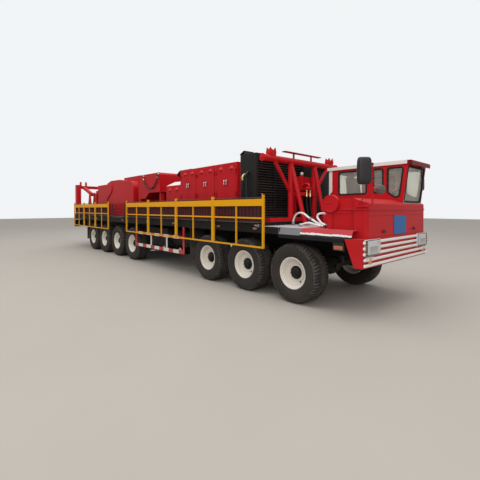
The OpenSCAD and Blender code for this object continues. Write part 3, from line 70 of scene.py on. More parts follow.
def areaLamp(name, place, aim, size, watts, tint):
    # the lamp looks along aim minus place
    data = bpy.data.lights.new(name, "AREA")
    data.shape = "RECTANGLE"
    data.size, data.size_y = size
    data.energy = watts
    data.color = tint
    lamp = bpy.data.objects.new(name, data)
    bpy.context.collection.objects.link(lamp)
    lamp.location = place
    lamp.rotation_euler = (Vector(aim) - Vector(place)).to_track_quat("-Z", "Y").to_euler()


makeCamera(stageLook)
for lampName, lampRow in lampRows.items():
    areaLamp(lampName, *lampRow)
print("camera and lamps are up")

# Shader groups


# short hands for building one node tree
class Tree:
    def __init__(self, tree):
        self.tree = tree

    def node(self, kind, **values):
        n = self.tree.nodes.new(kind)
        for key, value in values.items():
            setattr(n, key, value)
        return n

    def link(self, a, b):
        self.tree.links.new(a, b)

    def fill(self, socket, value):
        if isinstance(value, bpy.types.NodeSocket):
            self.link(value, socket)
        else:
            socket.default_value = value

    def feed(self, n, values):
        for key, value in values.items():
            self.fill(n.inputs[key], value)
        return n

    def math(self, op, a, b=0.0, clamp=False):
        return self.feed(self.node("ShaderNodeMath", operation=op, use_clamp=clamp), {0: a, 1: b}).outputs[0]

    def times(self, mask, *others):
        for other in others:
            mask = self.math("MULTIPLY", mask, other)
        return mask

    def mix(self, factor, a, b):
        n = self.node("ShaderNodeMix", data_type="RGBA")
        for k, value in ((0, factor), (6, a), (7, b)):
            self.fill(n.inputs[k], (*value, 1) if isinstance(value, tuple) else value)
        return n.outputs[2]

    def over(self, colour, paint, *masks):
        return self.mix(self.times(*masks), colour, paint)

    def noise(self, vector, scale, detail=3.0, rough=0.55):
        n = self.node("ShaderNodeTexNoise")
        return self.feed(n, {"Vector": vector, "Scale": scale, "Detail": detail, "Roughness": rough}).outputs["Fac"]

    def span(self, value, low, high, outLow=0.0, outHigh=1.0):
        n = self.node("ShaderNodeMapRange")
        return self.feed(n, {0: value, 1: low, 2: high, 3: outLow, 4: outHigh}).outputs[0]

    def group(self, name, **values):
        return self.feed(self.node("ShaderNodeGroup", node_tree=bpy.data.node_groups[name]), values)

    def place(self):
        return self.node("ShaderNodeTexCoord").outputs["Object"]

    def axes(self, vector):
        return self.feed(self.node("ShaderNodeSeparateXYZ"), {0: vector}).outputs

    def band(self, value, low, high, soft=0.002):
        return self.times(self.span(value, low - soft, low + soft), self.span(value, high - soft, high + soft, 1, 0))


def newGroup(name, inputs, outputs):
    # a socket given as None is a vector; one given as a number is a float that starts there
    g = bpy.data.node_groups.new(name, "ShaderNodeTree")
    for way, sockets in (("INPUT", inputs), ("OUTPUT", outputs)):
        for label, value in sockets.items():
            kind = "NodeSocketVector" if value is None else "NodeSocketFloat"
            socket = g.interface.new_socket(label, in_out=way, socket_type=kind)
            if value is not None and way == "INPUT":
                socket.default_value = value
    t = Tree(g)
    return t, t.node("NodeGroupInput"), t.node("NodeGroupOutput")


def buildGroups():
    # tone: slow blotches plus fine mottling, as one factor around 0.5
    t, i, o = newGroup("tone", {"Vector": None, "Blotch": 0.8, "Fine": 30.0}, {"Fac": 0.0})
    big = t.noise(i.outputs[0], i.outputs[1], 4)
    fine = t.noise(i.outputs[0], i.outputs[2], 2)
    t.link(t.math("ADD", t.times(big, 0.7), t.times(fine, 0.3)), o.inputs[0])

    # dust: settles on upward faces, and road dirt rises from the ground with streaks
    t, i, o = newGroup("dust", {"Vector": None, "Normal": None, "Top": 0.5, "Road": 0.5}, {"Mask": 0.0})
    up = t.span(t.axes(i.outputs[1])[2], 0.35, 0.95)
    height = t.span(t.axes(i.outputs[0])[2], 1.75, 0.15)
    cloud = t.span(t.noise(i.outputs[0], 2.3, 5, 0.65), 0.34, 0.72)
    speck = t.span(t.noise(i.outputs[0], 60, 3), 0.35, 0.75)
    low = t.times(height, i.outputs[3], t.math("ADD", cloud, speck))
    t.link(t.math("ADD", t.times(up, i.outputs[2], cloud), low, True), o.inputs[0])

    # wear: bare patches along sharp edges, found from the bevelled normal
    t, i, o = newGroup("edgeWear", {"Vector": None, "Radius": 0.006, "Amount": 0.4}, {"Mask": 0.0, "Normal": None})
    bevel = t.feed(t.node("ShaderNodeBevel", samples=4), {"Radius": i.outputs[1]})
    flat = t.node("ShaderNodeNewGeometry").outputs["Normal"]
    dot = t.feed(t.node("ShaderNodeVectorMath", operation="DOT_PRODUCT"), {0: bevel.outputs[0], 1: flat})
    edge = t.span(dot.outputs["Value"], 0.995, 0.86)
    chip = t.span(t.noise(i.outputs[0], 22, 6, 0.7), 0.5, 0.62)
    t.link(t.times(edge, chip, i.outputs[2]), o.inputs[0])
    t.link(bevel.outputs[0], o.inputs[1])

    # skin: orange peel of sprayed paint or the pitting of a casting, as a height
    t, i, o = newGroup("skin", {"Vector": None, "Grain": 120.0, "Wave": 3.0, "WaveShare": 0.5}, {"Height": 0.0})
    grain = t.noise(i.outputs[0], i.outputs[1], 2)
    wave = t.noise(i.outputs[0], i.outputs[2], 2)
    t.link(t.math("ADD", grain, t.times(wave, i.outputs[3])), o.inputs[0])


buildGroups()


def newLook(name):
    # an empty material whose principled shader feeds its output
    m = bpy.data.materials.new(name)
    m.use_nodes = True
    m.node_tree.nodes.clear()
    t = Tree(m.node_tree)
    out, bsdf = t.node("ShaderNodeOutputMaterial"), t.node("ShaderNodeBsdfPrincipled")
    t.link(bsdf.outputs[0], out.inputs[0])
    return m, t, bsdf


def paintedLook(name, base, shade, rough=0.35, coat=0.0, metallic=0.0, top=0.35, road=0.5, wear=0.35,
                bare=(0.05, 0.045, 0.04), grain=120.0, bump=0.12, dust=(0.36, 0.32, 0.27), paintOver=None,
                spec=0.5, blotch=0.8):
    # blotched colour, then painted marks, bare edges and dust; roughness is the tone's plus a share of the dust
    m, t, bsdf = newLook(name)
    m.diffuse_color = (*base, 1)
    where = t.place()
    normal = t.node("ShaderNodeNewGeometry").outputs["Normal"]
    tone = t.group("tone", Vector=where, Blotch=blotch).outputs[0]
    colour = t.mix(tone, base, shade)
    if paintOver:
        colour = paintOver(t, where, colour)
    worn = t.group("edgeWear", Vector=where, Amount=wear)
    dirt = t.group("dust", Vector=where, Normal=normal, Top=top, Road=road).outputs[0]
    colour = t.over(t.mix(worn.outputs[0], colour, bare), dust, dirt, 0.55)
    roughness = t.math("ADD", t.times(dirt, 0.45), t.span(tone, 0.2, 0.8, rough - 0.06, rough + 0.08), True)
    skin = t.group("skin", Vector=where, Grain=grain).outputs[0]
    relief = t.node("ShaderNodeBump")
    t.feed(relief, {"Strength": bump, "Distance": 0.002, "Height": skin, "Normal": worn.outputs[1]})
    t.feed(bsdf, {"Base Color": colour, "Roughness": roughness, "Metallic": metallic, "Coat Weight": coat,
                  "Coat Roughness": 0.08, "Specular IOR Level": spec, "Normal": relief.outputs[0]})
    return m


def glassLook(name, tint, rough, weight, base, ior=1.45):
    # a blotched tone between base and tint, of which the weight is let through
    m, t, bsdf = newLook(name)
    tone = t.group("tone", Vector=t.place(), Blotch=3.0).outputs[0]
    t.feed(bsdf, {"Base Color": t.mix(tone, base, tint), "Roughness": t.span(tone, 0.3, 0.8, rough, rough + 0.06),
                  "Transmission Weight": weight, "IOR": ior})
    return m


# Painted marks, some of them painted light and shade, each in the part's own metres
railStripes = {"white": (0.74, 0.72, 0.69), "pitch": 0.55, "start": -0.251, "share": (0.003, 0.545),
               "bands": ((0.538, 0.642), (0.943, 1.03)), "reach": (-0.394, 2.454),
               "posts": (0.621, 1.585), "postHalf": 0.04, "between": (0.643, 0.942)}
deckZones = {"edgeGrey": (0.24, 0.24, 0.25), "fasciaX": (-8, 5.4), "fasciaZ": (1.4855, 1.4995),
             "slope": (0.175, 0.175, 0.19), "slopeX": (5.858, 8.0), "slopeZ": (1.29, 1.6),
             "plate": (0.46, 0.45, 0.47), "plateX": (5.49, 8.0), "plateZ": (1.4186, 1.43),
             "redTop": (0.5, 0.045, 0.055), "redX": (6.36, 8.0), "redZ": (1.346, 1.4182),
             "edgeWhite": (0.7, 0.69, 0.69), "whiteZ": (1.316, 1.348),
             "under": (0.009, 0.009, 0.01), "underZ": (1.2, 1.3135)}
barTone = {"white": (0.78, 0.76, 0.74), "x": (7.573, 7.9)}
frontPlate = {"blue": (0.03, 0.135, 0.36), "x": (7.533, 7.5405), "y": (-0.136, 0.396), "z": (1.309, 1.656),
              "panelX": (7.5285, 7.5315), "seamY": -1.116, "seamHalf": 0.004, "groove": (1.652, 1.658),
              "grooveTo": 1.345, "seamTone": (0.06, 0.004, 0.006), "seamShare": 0.75,
              "slotTone": (0.05, 0.008, 0.01), "slotX": (7.5415, 7.57), "slotZ": (1.36, 1.43)}
# cream roof edge and rear corner strip: partly paint, partly a painted sky highlight
cabTrim = {"creamAndHighlight": (0.74, 0.72, 0.68), "roofX": (5.7, 7.56), "roofZ": (2.6315, 2.6985),
           "stripX": (5.8612, 5.945), "stripY": (0.39, 0.402), "stripZ": (2.07, 2.64), "foot": (5.86, 1.1),
           # the pale inside walls are a painted reflection, so the windows look as bright as reflected pale
           # surroundings
           "insideReflection": (0.4, 0.39, 0.36), "insideReflectionX": (5.885, 7.5), "insideReflectionY": (0.425, 1.325), "insideReflectionZ": (1.45, 2.6),
           "visor": (0.19, 0.008, 0.012), "visorX": (7.5665, 7.7)}
# the pale band on the low hood's side bevels is partly paint and partly a painted sky highlight
hoodBevelPaintAndHighlight = {"paleAndHighlight": (0.78, 0.73, 0.72), "fall": 0.65, "sum": (3.0945, 3.1005),
             "x": (0.882, 1.706), "z": (2.482, 2.612)}
# groove darkens the tread's grooves as painted shade; tick is the pale shoulder ticks, crown the dusty worn crown
treadShadeAndWearTones = {"groove": (0.0035, 0.0032, 0.003), "tick": (0.42, 0.4, 0.38), "crown": (0.075, 0.068, 0.062)}


def guardStripes(t, where, colour):
    # white blocks repeat along the two rails, and the two middle posts are white
    s = railStripes
    x, _, z = t.axes(where)
    low, high = (t.band(z, *span) for span in s["bands"])
    wave = t.math("FRACT", t.math("DIVIDE", t.math("SUBTRACT", x, s["start"]), s["pitch"]))
    white = t.times(t.math("MAXIMUM", low, high), t.band(x, *s["reach"]), t.band(wave, *s["share"], 0.004))
    near = t.band(z, *s["between"], 0.001)
    for post in s["posts"]:
        white = t.math("MAXIMUM", white, t.times(near, t.band(x, post - s["postHalf"], post + s["postHalf"])))
    return t.mix(white, colour, s["white"])


def deckPaint(t, where, colour):
    # grey slope and plate at the front, red top with a white edge further on, a grey edge along the black fascia
    d = deckZones
    x, _, z = t.axes(where)
    colour = t.over(colour, d["edgeGrey"], t.band(z, *d["fasciaZ"], 0.0004), t.band(x, *d["fasciaX"]))
    colour = t.over(colour, d["slope"], t.band(x, *d["slopeX"]), t.band(z, *d["slopeZ"]))
    top = t.times(t.band(x, *d["plateX"]), t.band(z, *d["plateZ"], 0.0006))
    colour = t.over(colour, d["plate"], top)
    red = t.band(x, *d["redX"], 0.006)
    colour = t.over(colour, d["redTop"], top, red)
    colour = t.over(colour, d["redTop"], red, t.band(z, *d["redZ"], 0.0008))
    worn = t.math("ADD", z, t.span(t.noise(where, 14, 3), 0.35, 0.7, -0.006, 0.01))
    colour = t.over(colour, d["edgeWhite"], red, t.band(worn, *d["whiteZ"], 0.001))
    return t.over(colour, d["under"], red, t.band(z, *d["underZ"], 0.001))


def barPaint(t, where, colour):
    # whatever stands in front of the bumper's face is white
    return t.over(colour, barTone["white"], t.band(t.axes(where)[0], *barTone["x"]))


def platePaint(t, where, colour):
    # the blank plate is blue; one upright seam and one level groove cross the front panel
    p = frontPlate
    x, y, z = t.axes(where)
    upright = t.band(y, p["seamY"] - p["seamHalf"], p["seamY"] + p["seamHalf"], 0.0015)
    level = t.times(t.band(z, *p["groove"], 0.002), t.band(y, p["seamY"], p["grooveTo"]))
    seam = t.math("MAXIMUM", upright, level)
    colour = t.over(colour, p["seamTone"], t.band(x, *p["panelX"], 0.0004), seam, p["seamShare"])
    colour = t.over(colour, p["slotTone"], t.band(x, *p["slotX"], 0.0004), t.band(z, *p["slotZ"]))
    flat = t.times(t.band(x, *p["x"], 0.0004), t.band(y, *p["y"], 0.0005))
    return t.over(colour, p["blue"], flat, t.band(z, *p["z"], 0.0005))


def cabPaintAndPaintedLight(t, where, colour):
    # cream roof edge and a cream strip with a slanted foot up the rear corner of the right side, both partly paint and
    # partly a painted sky highlight; the pale inside walls are a painted reflection for the windows
    c = cabTrim
    x, y, z = t.axes(where)
    roof = t.times(t.band(z, *c["roofZ"], 0.0008), t.band(x, *c["roofX"]))
    foot = t.math("SUBTRACT", z, t.times(t.math("SUBTRACT", x, c["foot"][0]), c["foot"][1]))
    strip = t.times(t.band(x, *c["stripX"]), t.band(y, *c["stripY"]), t.band(foot, *c["stripZ"]))
    colour = t.mix(t.math("MAXIMUM", roof, strip), colour, c["creamAndHighlight"])
    # pale inside walls, the door's included: a painted reflection seen through the windows
    inside = [t.band(value, *c[key]) for value, key in ((x, "insideReflectionX"), (y, "insideReflectionY"), (z, "insideReflectionZ"))]
    return t.over(t.over(colour, c["insideReflection"], *inside), c["visor"], t.band(x, *c["visorX"]))


def hoodPaintAndHighlight(t, where, colour):
    # the long side bevels of the low hood are pale, partly paint and partly a painted sky highlight: height plus 0.65
    # of the distance out is constant there
    h = hoodBevelPaintAndHighlight
    x, y, z = t.axes(where)
    slant = t.math("ADD", z, t.times(t.math("ABSOLUTE", y), h["fall"]))
    return t.over(colour, h["paleAndHighlight"], t.band(slant, *h["sum"], 0.0008), t.band(x, *h["x"]), t.band(z, *h["z"]))


def treadShadeAndWear(t, where, colour):
    # the cut attribute darkens the grooves with painted shade, puts pale ticks on the shoulder, and the worn crown is a
    # little paler
    cut = t.node("ShaderNodeAttribute", attribute_name="cut").outputs["Fac"]
    colour = t.over(colour, treadShadeAndWearTones["groove"], t.span(cut, 0.15, 0.7))
    colour = t.over(colour, treadShadeAndWearTones["tick"], t.span(cut, 1.35, 1.8))
    return t.over(colour, treadShadeAndWearTones["crown"], t.span(cut, -0.2, -0.9), t.span(t.noise(where, 9, 4), 0.35, 0.6))


# Finishes: base colour, shade colour and what differs from a plain paint
redTones = (0.54, 0.012, 0.018), (0.45, 0.008, 0.012)
blackTones = (0.007, 0.007, 0.008), (0.012, 0.011, 0.011)
redLook = {"rough": 0.33, "spec": 0.13}
lensLook = {"rough": 0.2, "coat": 0.4, "wear": 0.0, "top": 0.1, "road": 0.2, "grain": 300, "bump": 0.1}
plasticLook = {"wear": 0.0, "bump": 0.2, "road": 0.1, "spec": 0.3}
redRows = {"redPaint": (0.15, None), "cabPaintAndPaintedLight": (0.12, cabPaintAndPaintedLight), "doorPaintAndPaintedLight": (0.12, cabPaintAndPaintedLight),
           "hoodPaintAndHighlight": (0.15, hoodPaintAndHighlight), "guardPaint": (0.6, guardStripes), "bumperPaint": (0.12, barPaint),
           "frontPaint": (0.12, platePaint)}
finishTable = {name: (*redTones, dict(redLook, road=road, paintOver=marks)) for name, (road, marks) in redRows.items()}
finishTable |= {
    "caseRed": ((0.52, 0.011, 0.016), (0.42, 0.008, 0.012), dict(redLook, road=0.2)),
    "barRed": ((0.17, 0.04, 0.055), (0.1, 0.045, 0.052), dict(rough=0.5, road=0.2, wear=0.6, spec=0.2)),
    # the scoops' red is the hood red made lighter, a painted highlight on their rounded tops
    "scoopRedHighlight": ((0.6, 0.02, 0.027), (0.52, 0.014, 0.02), dict(rough=0.33, spec=0.2)),
    "darkRed": ((0.16, 0.01, 0.013), (0.1, 0.009, 0.011), dict(rough=0.5, spec=0.2)),
    "blackPaint": (*blackTones, dict(rough=0.5, road=0.16, spec=0.12)),
    "deckPaint": (*blackTones, dict(rough=0.5, road=0.1, spec=0.12, paintOver=deckPaint)),
    "chassisIron": ((0.008, 0.008, 0.008), (0.015, 0.014, 0.013),
                    dict(rough=0.6, road=0.3, grain=60, bump=0.25, spec=0.15)),
    "radiatorBlack": ((0.015, 0.0145, 0.0145), (0.022, 0.021, 0.0205), dict(rough=0.5, road=0.1, spec=0.15)),
    "yellowPaint": ((0.8, 0.385, 0.0025), (0.72, 0.32, 0.0025),
                    dict(rough=0.4, road=0.12, bare=(0.16, 0.06, 0.03), spec=0.13)),
    "gratingPaint": ((0.075, 0.018, 0.024), (0.045, 0.018, 0.022), dict(rough=0.5, road=0.2, wear=0.6, spec=0.3)),
    "greyPaint": ((0.22, 0.23, 0.24), (0.17, 0.18, 0.19), dict(rough=0.45)),
    "drumSteel": ((0.3, 0.31, 0.32), (0.22, 0.22, 0.23), dict(rough=0.34, metallic=0.9, top=0.2)),
    "jackSteel": ((0.55, 0.56, 0.57), (0.45, 0.46, 0.47), dict(rough=0.24, metallic=0.95, road=0.6)),
    "chrome": ((0.74, 0.75, 0.77), (0.64, 0.65, 0.67),
               dict(rough=0.16, metallic=1.0, wear=0.0, top=0.1, road=0.2, bump=0.03)),
    "lampShell": ((0.6, 0.59, 0.58), (0.5, 0.49, 0.48), dict(rough=0.3, wear=0.1, road=0.2)),
    "cabPlastic": ((0.035, 0.035, 0.037), (0.05, 0.048, 0.045), dict(rough=0.6, wear=0.0, grain=400, bump=0.3, road=0)),
    "blackPlastic": ((0.02, 0.018, 0.02), (0.03, 0.027, 0.029), dict(plasticLook, rough=0.42, grain=500, top=0.6)),
    "greyPlastic": ((0.085, 0.085, 0.078), (0.12, 0.118, 0.11), dict(plasticLook, rough=0.5, grain=300)),
    "rubber": ((0.012, 0.012, 0.012), (0.02, 0.019, 0.018), dict(rough=0.7, wear=0.0, spec=0.2)),
    "tyreRubber": ((0.02, 0.0175, 0.016), (0.034, 0.029, 0.026),
                   dict(rough=0.66, wear=0.0, road=0.3, top=0.1, grain=90, bump=0.3, dust=(0.13, 0.115, 0.1),
                        spec=0.18, paintOver=treadShadeAndWear)),
    "rimPaint": ((0.86, 0.815, 0.745), (0.76, 0.705, 0.63),
                 dict(rough=0.42, road=0.3, top=0.2, wear=0.2, bare=(0.2, 0.12, 0.08), spec=0.3)),
    "hubIron": ((0.006, 0.006, 0.0065), (0.011, 0.01, 0.01), dict(rough=0.5, road=0.08, spec=0.12)),
    "whiteWrap": ((0.88, 0.86, 0.86), (0.76, 0.73, 0.73), dict(rough=0.65, wear=0.0, grain=250, bump=0.5, spec=0.25)),
    "whitePaint": ((0.8, 0.78, 0.75), (0.72, 0.69, 0.66), dict(rough=0.34, coat=0.1, road=0.12, top=0.1, spec=0.3)),
    "brass": ((0.62, 0.47, 0.24), (0.5, 0.37, 0.18), dict(rough=0.32, metallic=0.9, top=0.1, wear=0.0)),
    "zinc": ((0.5, 0.5, 0.5), (0.4, 0.39, 0.38), dict(rough=0.38, metallic=0.85, wear=0.0)),
    "hoseRubber": ((0.012, 0.012, 0.013), (0.018, 0.018, 0.018), dict(rough=0.5, wear=0.0, spec=0.3)),
    "amberLens": ((0.46, 0.13, 0.035), (0.36, 0.09, 0.025), dict(lensLook, rough=0.22)),
    "orangeLens": ((0.62, 0.3, 0.06), (0.52, 0.22, 0.04), lensLook),
    "brownLens": ((0.22, 0.045, 0.012), (0.14, 0.028, 0.009), dict(lensLook, coat=0.3, road=0.1)),
    "redLens": ((0.42, 0.01, 0.012), (0.32, 0.008, 0.01), dict(rough=0.2, coat=0.4, wear=0.0, top=0.1, road=0.3)),
    "mirrorFace": ((0.7, 0.72, 0.74), (0.64, 0.66, 0.68),
                   dict(rough=0.08, metallic=1.0, wear=0.0, top=0, road=0, bump=0.0)),
}
finishes = {name: paintedLook(name, base, shade, **more) for name, (base, shade, more) in finishTable.items()}
# the cab glass is milky with a pale warm base colour, a painted reflection of pale surroundings over the windows
finishes["cabGlass"] = glassLook("cabGlass", (0.82, 0.82, 0.74), 0.02, 0.84, (0.9, 0.88, 0.8), 1.2)
finishes["lampGlass"] = glassLook("lampGlass", (0.8, 0.81, 0.82), 0.06, 0.25, (0.66, 0.67, 0.68))

# the frame nodes that wear each finish; numbered ones go by the start of their name
nodeFinish = {
    "blackPaint": ("frame", "tanks", "exhaust"), "deckPaint": ("deck",), "cabPaintAndPaintedLight": ("cab_shell",),
    "chassisIron": ("axles", "suspension", "knuck"), "cabGlass": ("cab_glass",), "cabPlastic": ("cab_interior",),
    "frontPaint": ("front_body",), "bumperPaint": ("bumper",), "lampGlass": ("lamps",), "blackPlastic": ("mirrors",),
    "redPaint": ("mast_support", "hydraulic_tank", "drum_guards", "mast_base", "hood_"), "hoodPaintAndHighlight": ("engine_hood",),
    "radiatorBlack": ("radiator",), "greyPaint": ("engine_block",), "caseRed": ("drive_case", "drawworks_frame"),
    "drumSteel": ("main_drum",), "guardPaint": ("side_guards",), "rubber": ("mud_flaps",), "hoseRubber": ("hoses",),
    "gratingPaint": ("ladder", "walkway_"), "jackSteel": ("jack_legs",), "doorPaintAndPaintedLight": ("cab_door",),
    "yellowPaint": ("railing_",), "tyreRubber": ("wheel",),
}


def dressNode(node):
    # the one finish whose list holds the start of the node's name takes every slot of its mesh
    finish = next(finishes[key] for key, starts in nodeFinish.items() if node.startswith(starts))
    mesh = nodes[node].data
    if mesh.materials:
        for k in range(len(mesh.materials)):
            mesh.materials[k] = finish
    else:
        mesh.materials.append(finish)


for nodeName in nodes:
    dressNode(nodeName)
print("finishes are on the frame nodes:", len(nodes))

# Surfaces


def gridFaces(rows, cols, ringRows=False, ringCols=False):
    # every grid cell as one four-sided face; a ring closes on its first row or column
    i, j = np.meshgrid(np.arange(rows if ringRows else rows - 1), np.arange(cols if ringCols else cols - 1),
                       indexing="ij")
    k, m = (i + 1) % rows, (j + 1) % cols
    return np.stack([i * cols + j, k * cols + j, k * cols + m, i * cols + m], -1).reshape(-1, 4)


def joined(parts):
    # several (points, faces) pairs become one, each face number moved on by the points before it
    verts, faces, base = [], [], 0
    for v, f in parts:
        verts.append(np.asarray(v, float).reshape(-1, 3))
        faces += [[q + base for q in face] for face in (f.tolist() if hasattr(f, "tolist") else f)]
        base += len(verts[-1])
    return np.concatenate(verts), faces


def addPiece(name, parts, finish, smooth=40, body="carrier", stands=(), slotName=None):
    # parts are (points, faces) pairs; doubles are merged and normals turned outwards
    verts, faces = joined(parts)
    mesh = bpy.data.meshes.new(name)
    mesh.from_pydata(verts.tolist(), [], faces)
    bm = bmesh.new()
    bm.from_mesh(mesh)
    bmesh.ops.remove_doubles(bm, verts=bm.verts, dist=1e-5)
    bmesh.ops.dissolve_degenerate(bm, edges=bm.edges, dist=1e-6)
    bmesh.ops.recalc_face_normals(bm, faces=bm.faces)
    bm.to_mesh(mesh)
    bm.free()
    mesh.polygons.foreach_set("use_smooth", [True] * len(mesh.polygons))
    mesh.set_sharp_from_angle(angle=math.radians(smooth))
    mesh.materials.append(finishes[finish])
    piece = bpy.data.objects.new(name, mesh)
    bpy.context.collection.objects.link(piece)
    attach(piece, body)
    if stands:
        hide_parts(*stands)
    return piece


def turned(profile, count, centre=(0, 0, 0), axis="y", side=1):
    # a closed profile of (radius, distance along the axis) turned once round the axis
    p = np.asarray(profile, float)
    a = np.linspace(0, tau, count, endpoint=False)[:, None]
    r, along = p[:, 0][None], side * p[:, 1][None] + 0 * a
    c, s = r * np.cos(a), r * np.sin(a)
    order = {"y": (c, along, s), "x": (along, c, s), "z": (c, s, along)}[axis]
    return np.stack(order, -1).reshape(-1, 3) + np.array(centre), gridFaces(count, len(p), True, True)


def softBox(low, high, radius, cuts):
    # a box with rounded edges: each point is pulled back to an inner box, then pushed out by the radius
    low, high = np.asarray(low, float), np.asarray(high, float)
    half, mid = (high - low) / 2, (high + low) / 2
    radius = min(radius, half.min() * 0.98)
    ramp = (half[:, None] - radius) + radius * np.linspace(0, 1, cuts + 1)[None]
    parts = []
    for ax in range(3):
        u, v = (ax + 1) % 3, (ax + 2) % 3
        cu = np.concatenate([-ramp[u][::-1], ramp[u]])
        cv = np.concatenate([-ramp[v][::-1], ramp[v]])
        for sign in (-1, 1):
            across, up = np.meshgrid(cu, cv, indexing="ij")
            p = np.zeros(across.shape + (3,))
            p[..., u], p[..., v], p[..., ax] = across, up, sign * half[ax]
            inner = np.clip(p, -(half - radius), half - radius)
            d = p - inner
            length = np.linalg.norm(d, axis=-1, keepdims=True)
            p = inner + d / np.maximum(length, 1e-9) * radius
            parts.append((p + mid, gridFaces(*across.shape)))
    return joined(parts)


def tube(path, radius, sides):
    # a round profile carried along a path, its frame turned as little as possible from point to point
    p = np.asarray(path, float)
    n = len(p)
    step = np.gradient(p, axis=0)
    step /= np.linalg.norm(step, axis=1, keepdims=True)
    side = np.cross(step[0], (0.13, 0.31, 0.94))
    side /= np.linalg.norm(side)
    across, upright = [], []
    for d in step:
        side = side - d * (side @ d)
        side = side / np.linalg.norm(side)
        across.append(side)
        upright.append(np.cross(d, side))
    a = np.linspace(0, tau, sides, endpoint=False)[None, :, None]
    across, upright = np.array(across)[:, None], np.array(upright)[:, None]
    r = np.broadcast_to(np.asarray(radius, float), (n,))[:, None, None]
    v = p[:, None] + r * (np.cos(a) * across + np.sin(a) * upright)
    ends = [list(range(sides))[::-1], [(n - 1) * sides + k for k in range(sides)]]
    return v.reshape(-1, 3), gridFaces(n, sides, False, True).tolist() + ends


def smoothPath(points, steps):
    # a Catmull-Rom curve through the points
    p = np.asarray(points, float)
    p = np.vstack([2 * p[0] - p[1], p, 2 * p[-1] - p[-2]])
    t = np.linspace(0, 1, steps, endpoint=False)[:, None]
    out = []
    for k in range(1, len(p) - 2):
        a, b, c, d = p[k - 1:k + 3]
        square, cube = 2 * a - 5 * b + 4 * c - d, 3 * b - a - 3 * c + d
        out.append(0.5 * (2 * b + (c - a) * t + square * t ** 2 + cube * t ** 3))
    return np.vstack(out + [p[-2][None]])


def roundLoop(outline, r, arc=7):
    # a flat outline whose corners are rounded by circles that touch both sides
    c = np.asarray(outline, float)
    out = []
    for k in range(len(c)):
        a, b, d = c[k - 1], c[k], c[(k + 1) % len(c)]
        u, w = (a - b) / np.linalg.norm(a - b), (d - b) / np.linalg.norm(d - b)
        half = math.acos(np.clip(u @ w, -1, 1)) / 2
        centre = b + (u + w) / np.linalg.norm(u + w) * r / math.sin(half)
        p0, p1 = b + u * r / math.tan(half), b + w * r / math.tan(half)
        a0 = math.atan2(*(p0 - centre)[::-1])
        a1 = math.atan2(*(p1 - centre)[::-1])
        turn = (a1 - a0 + math.pi) % tau - math.pi
        ang = a0 + turn * np.linspace(0, 1, arc)
        out.append(centre + r * np.stack([np.cos(ang), np.sin(ang)], -1))
    return np.vstack(out)


def hexHeads(places, facing, radius, height):
    # six-sided heads with a domed top, all along one direction
    d = np.array(facing, float)
    u = np.cross(d, (0.3, 0.5, 0.81))
    u /= np.linalg.norm(u)
    w = np.cross(d, u)
    a = np.arange(6) * tau / 6
    ring = np.cos(a)[:, None] * u + np.sin(a)[:, None] * w
    shape = np.vstack([ring * radius, ring * radius + d * height * 0.7, ring * radius * 0.7 + d * height])
    faces = gridFaces(3, 6, False, True).tolist() + [[12, 13, 14, 15, 16, 17]]
    return joined([(shape + np.array(p), faces) for p in places])


# Wheels

wheelShape = {
    "axles": [6.15, 4.82, 3.49, -0.91, -2.24, -3.57, -4.9], "side": 1.1, "height": 0.565,
    "tyreRadius": 0.565, "tyreHalf": 0.215, "rimRadius": 0.298, "rimHalf": 0.19,
    "around": 336, "groove": 0.013, "lugs": 56, "zig": 0.013, "grooveAt": 0.04, "grooveHalf": 0.006,
    "laneAt": 0.098, "laneHalf": 0.0065, "slotFrom": 0.108, "rib": 0.003,
    # radius, count, first angle and distance out of the parts that stand in a ring
    "nuts": (0.1115, 10, 0.2, 0.073), "bolts": (0.06, 8, 0, 0.1175), "valve": (0.19, 1, -1.15, 0),
}


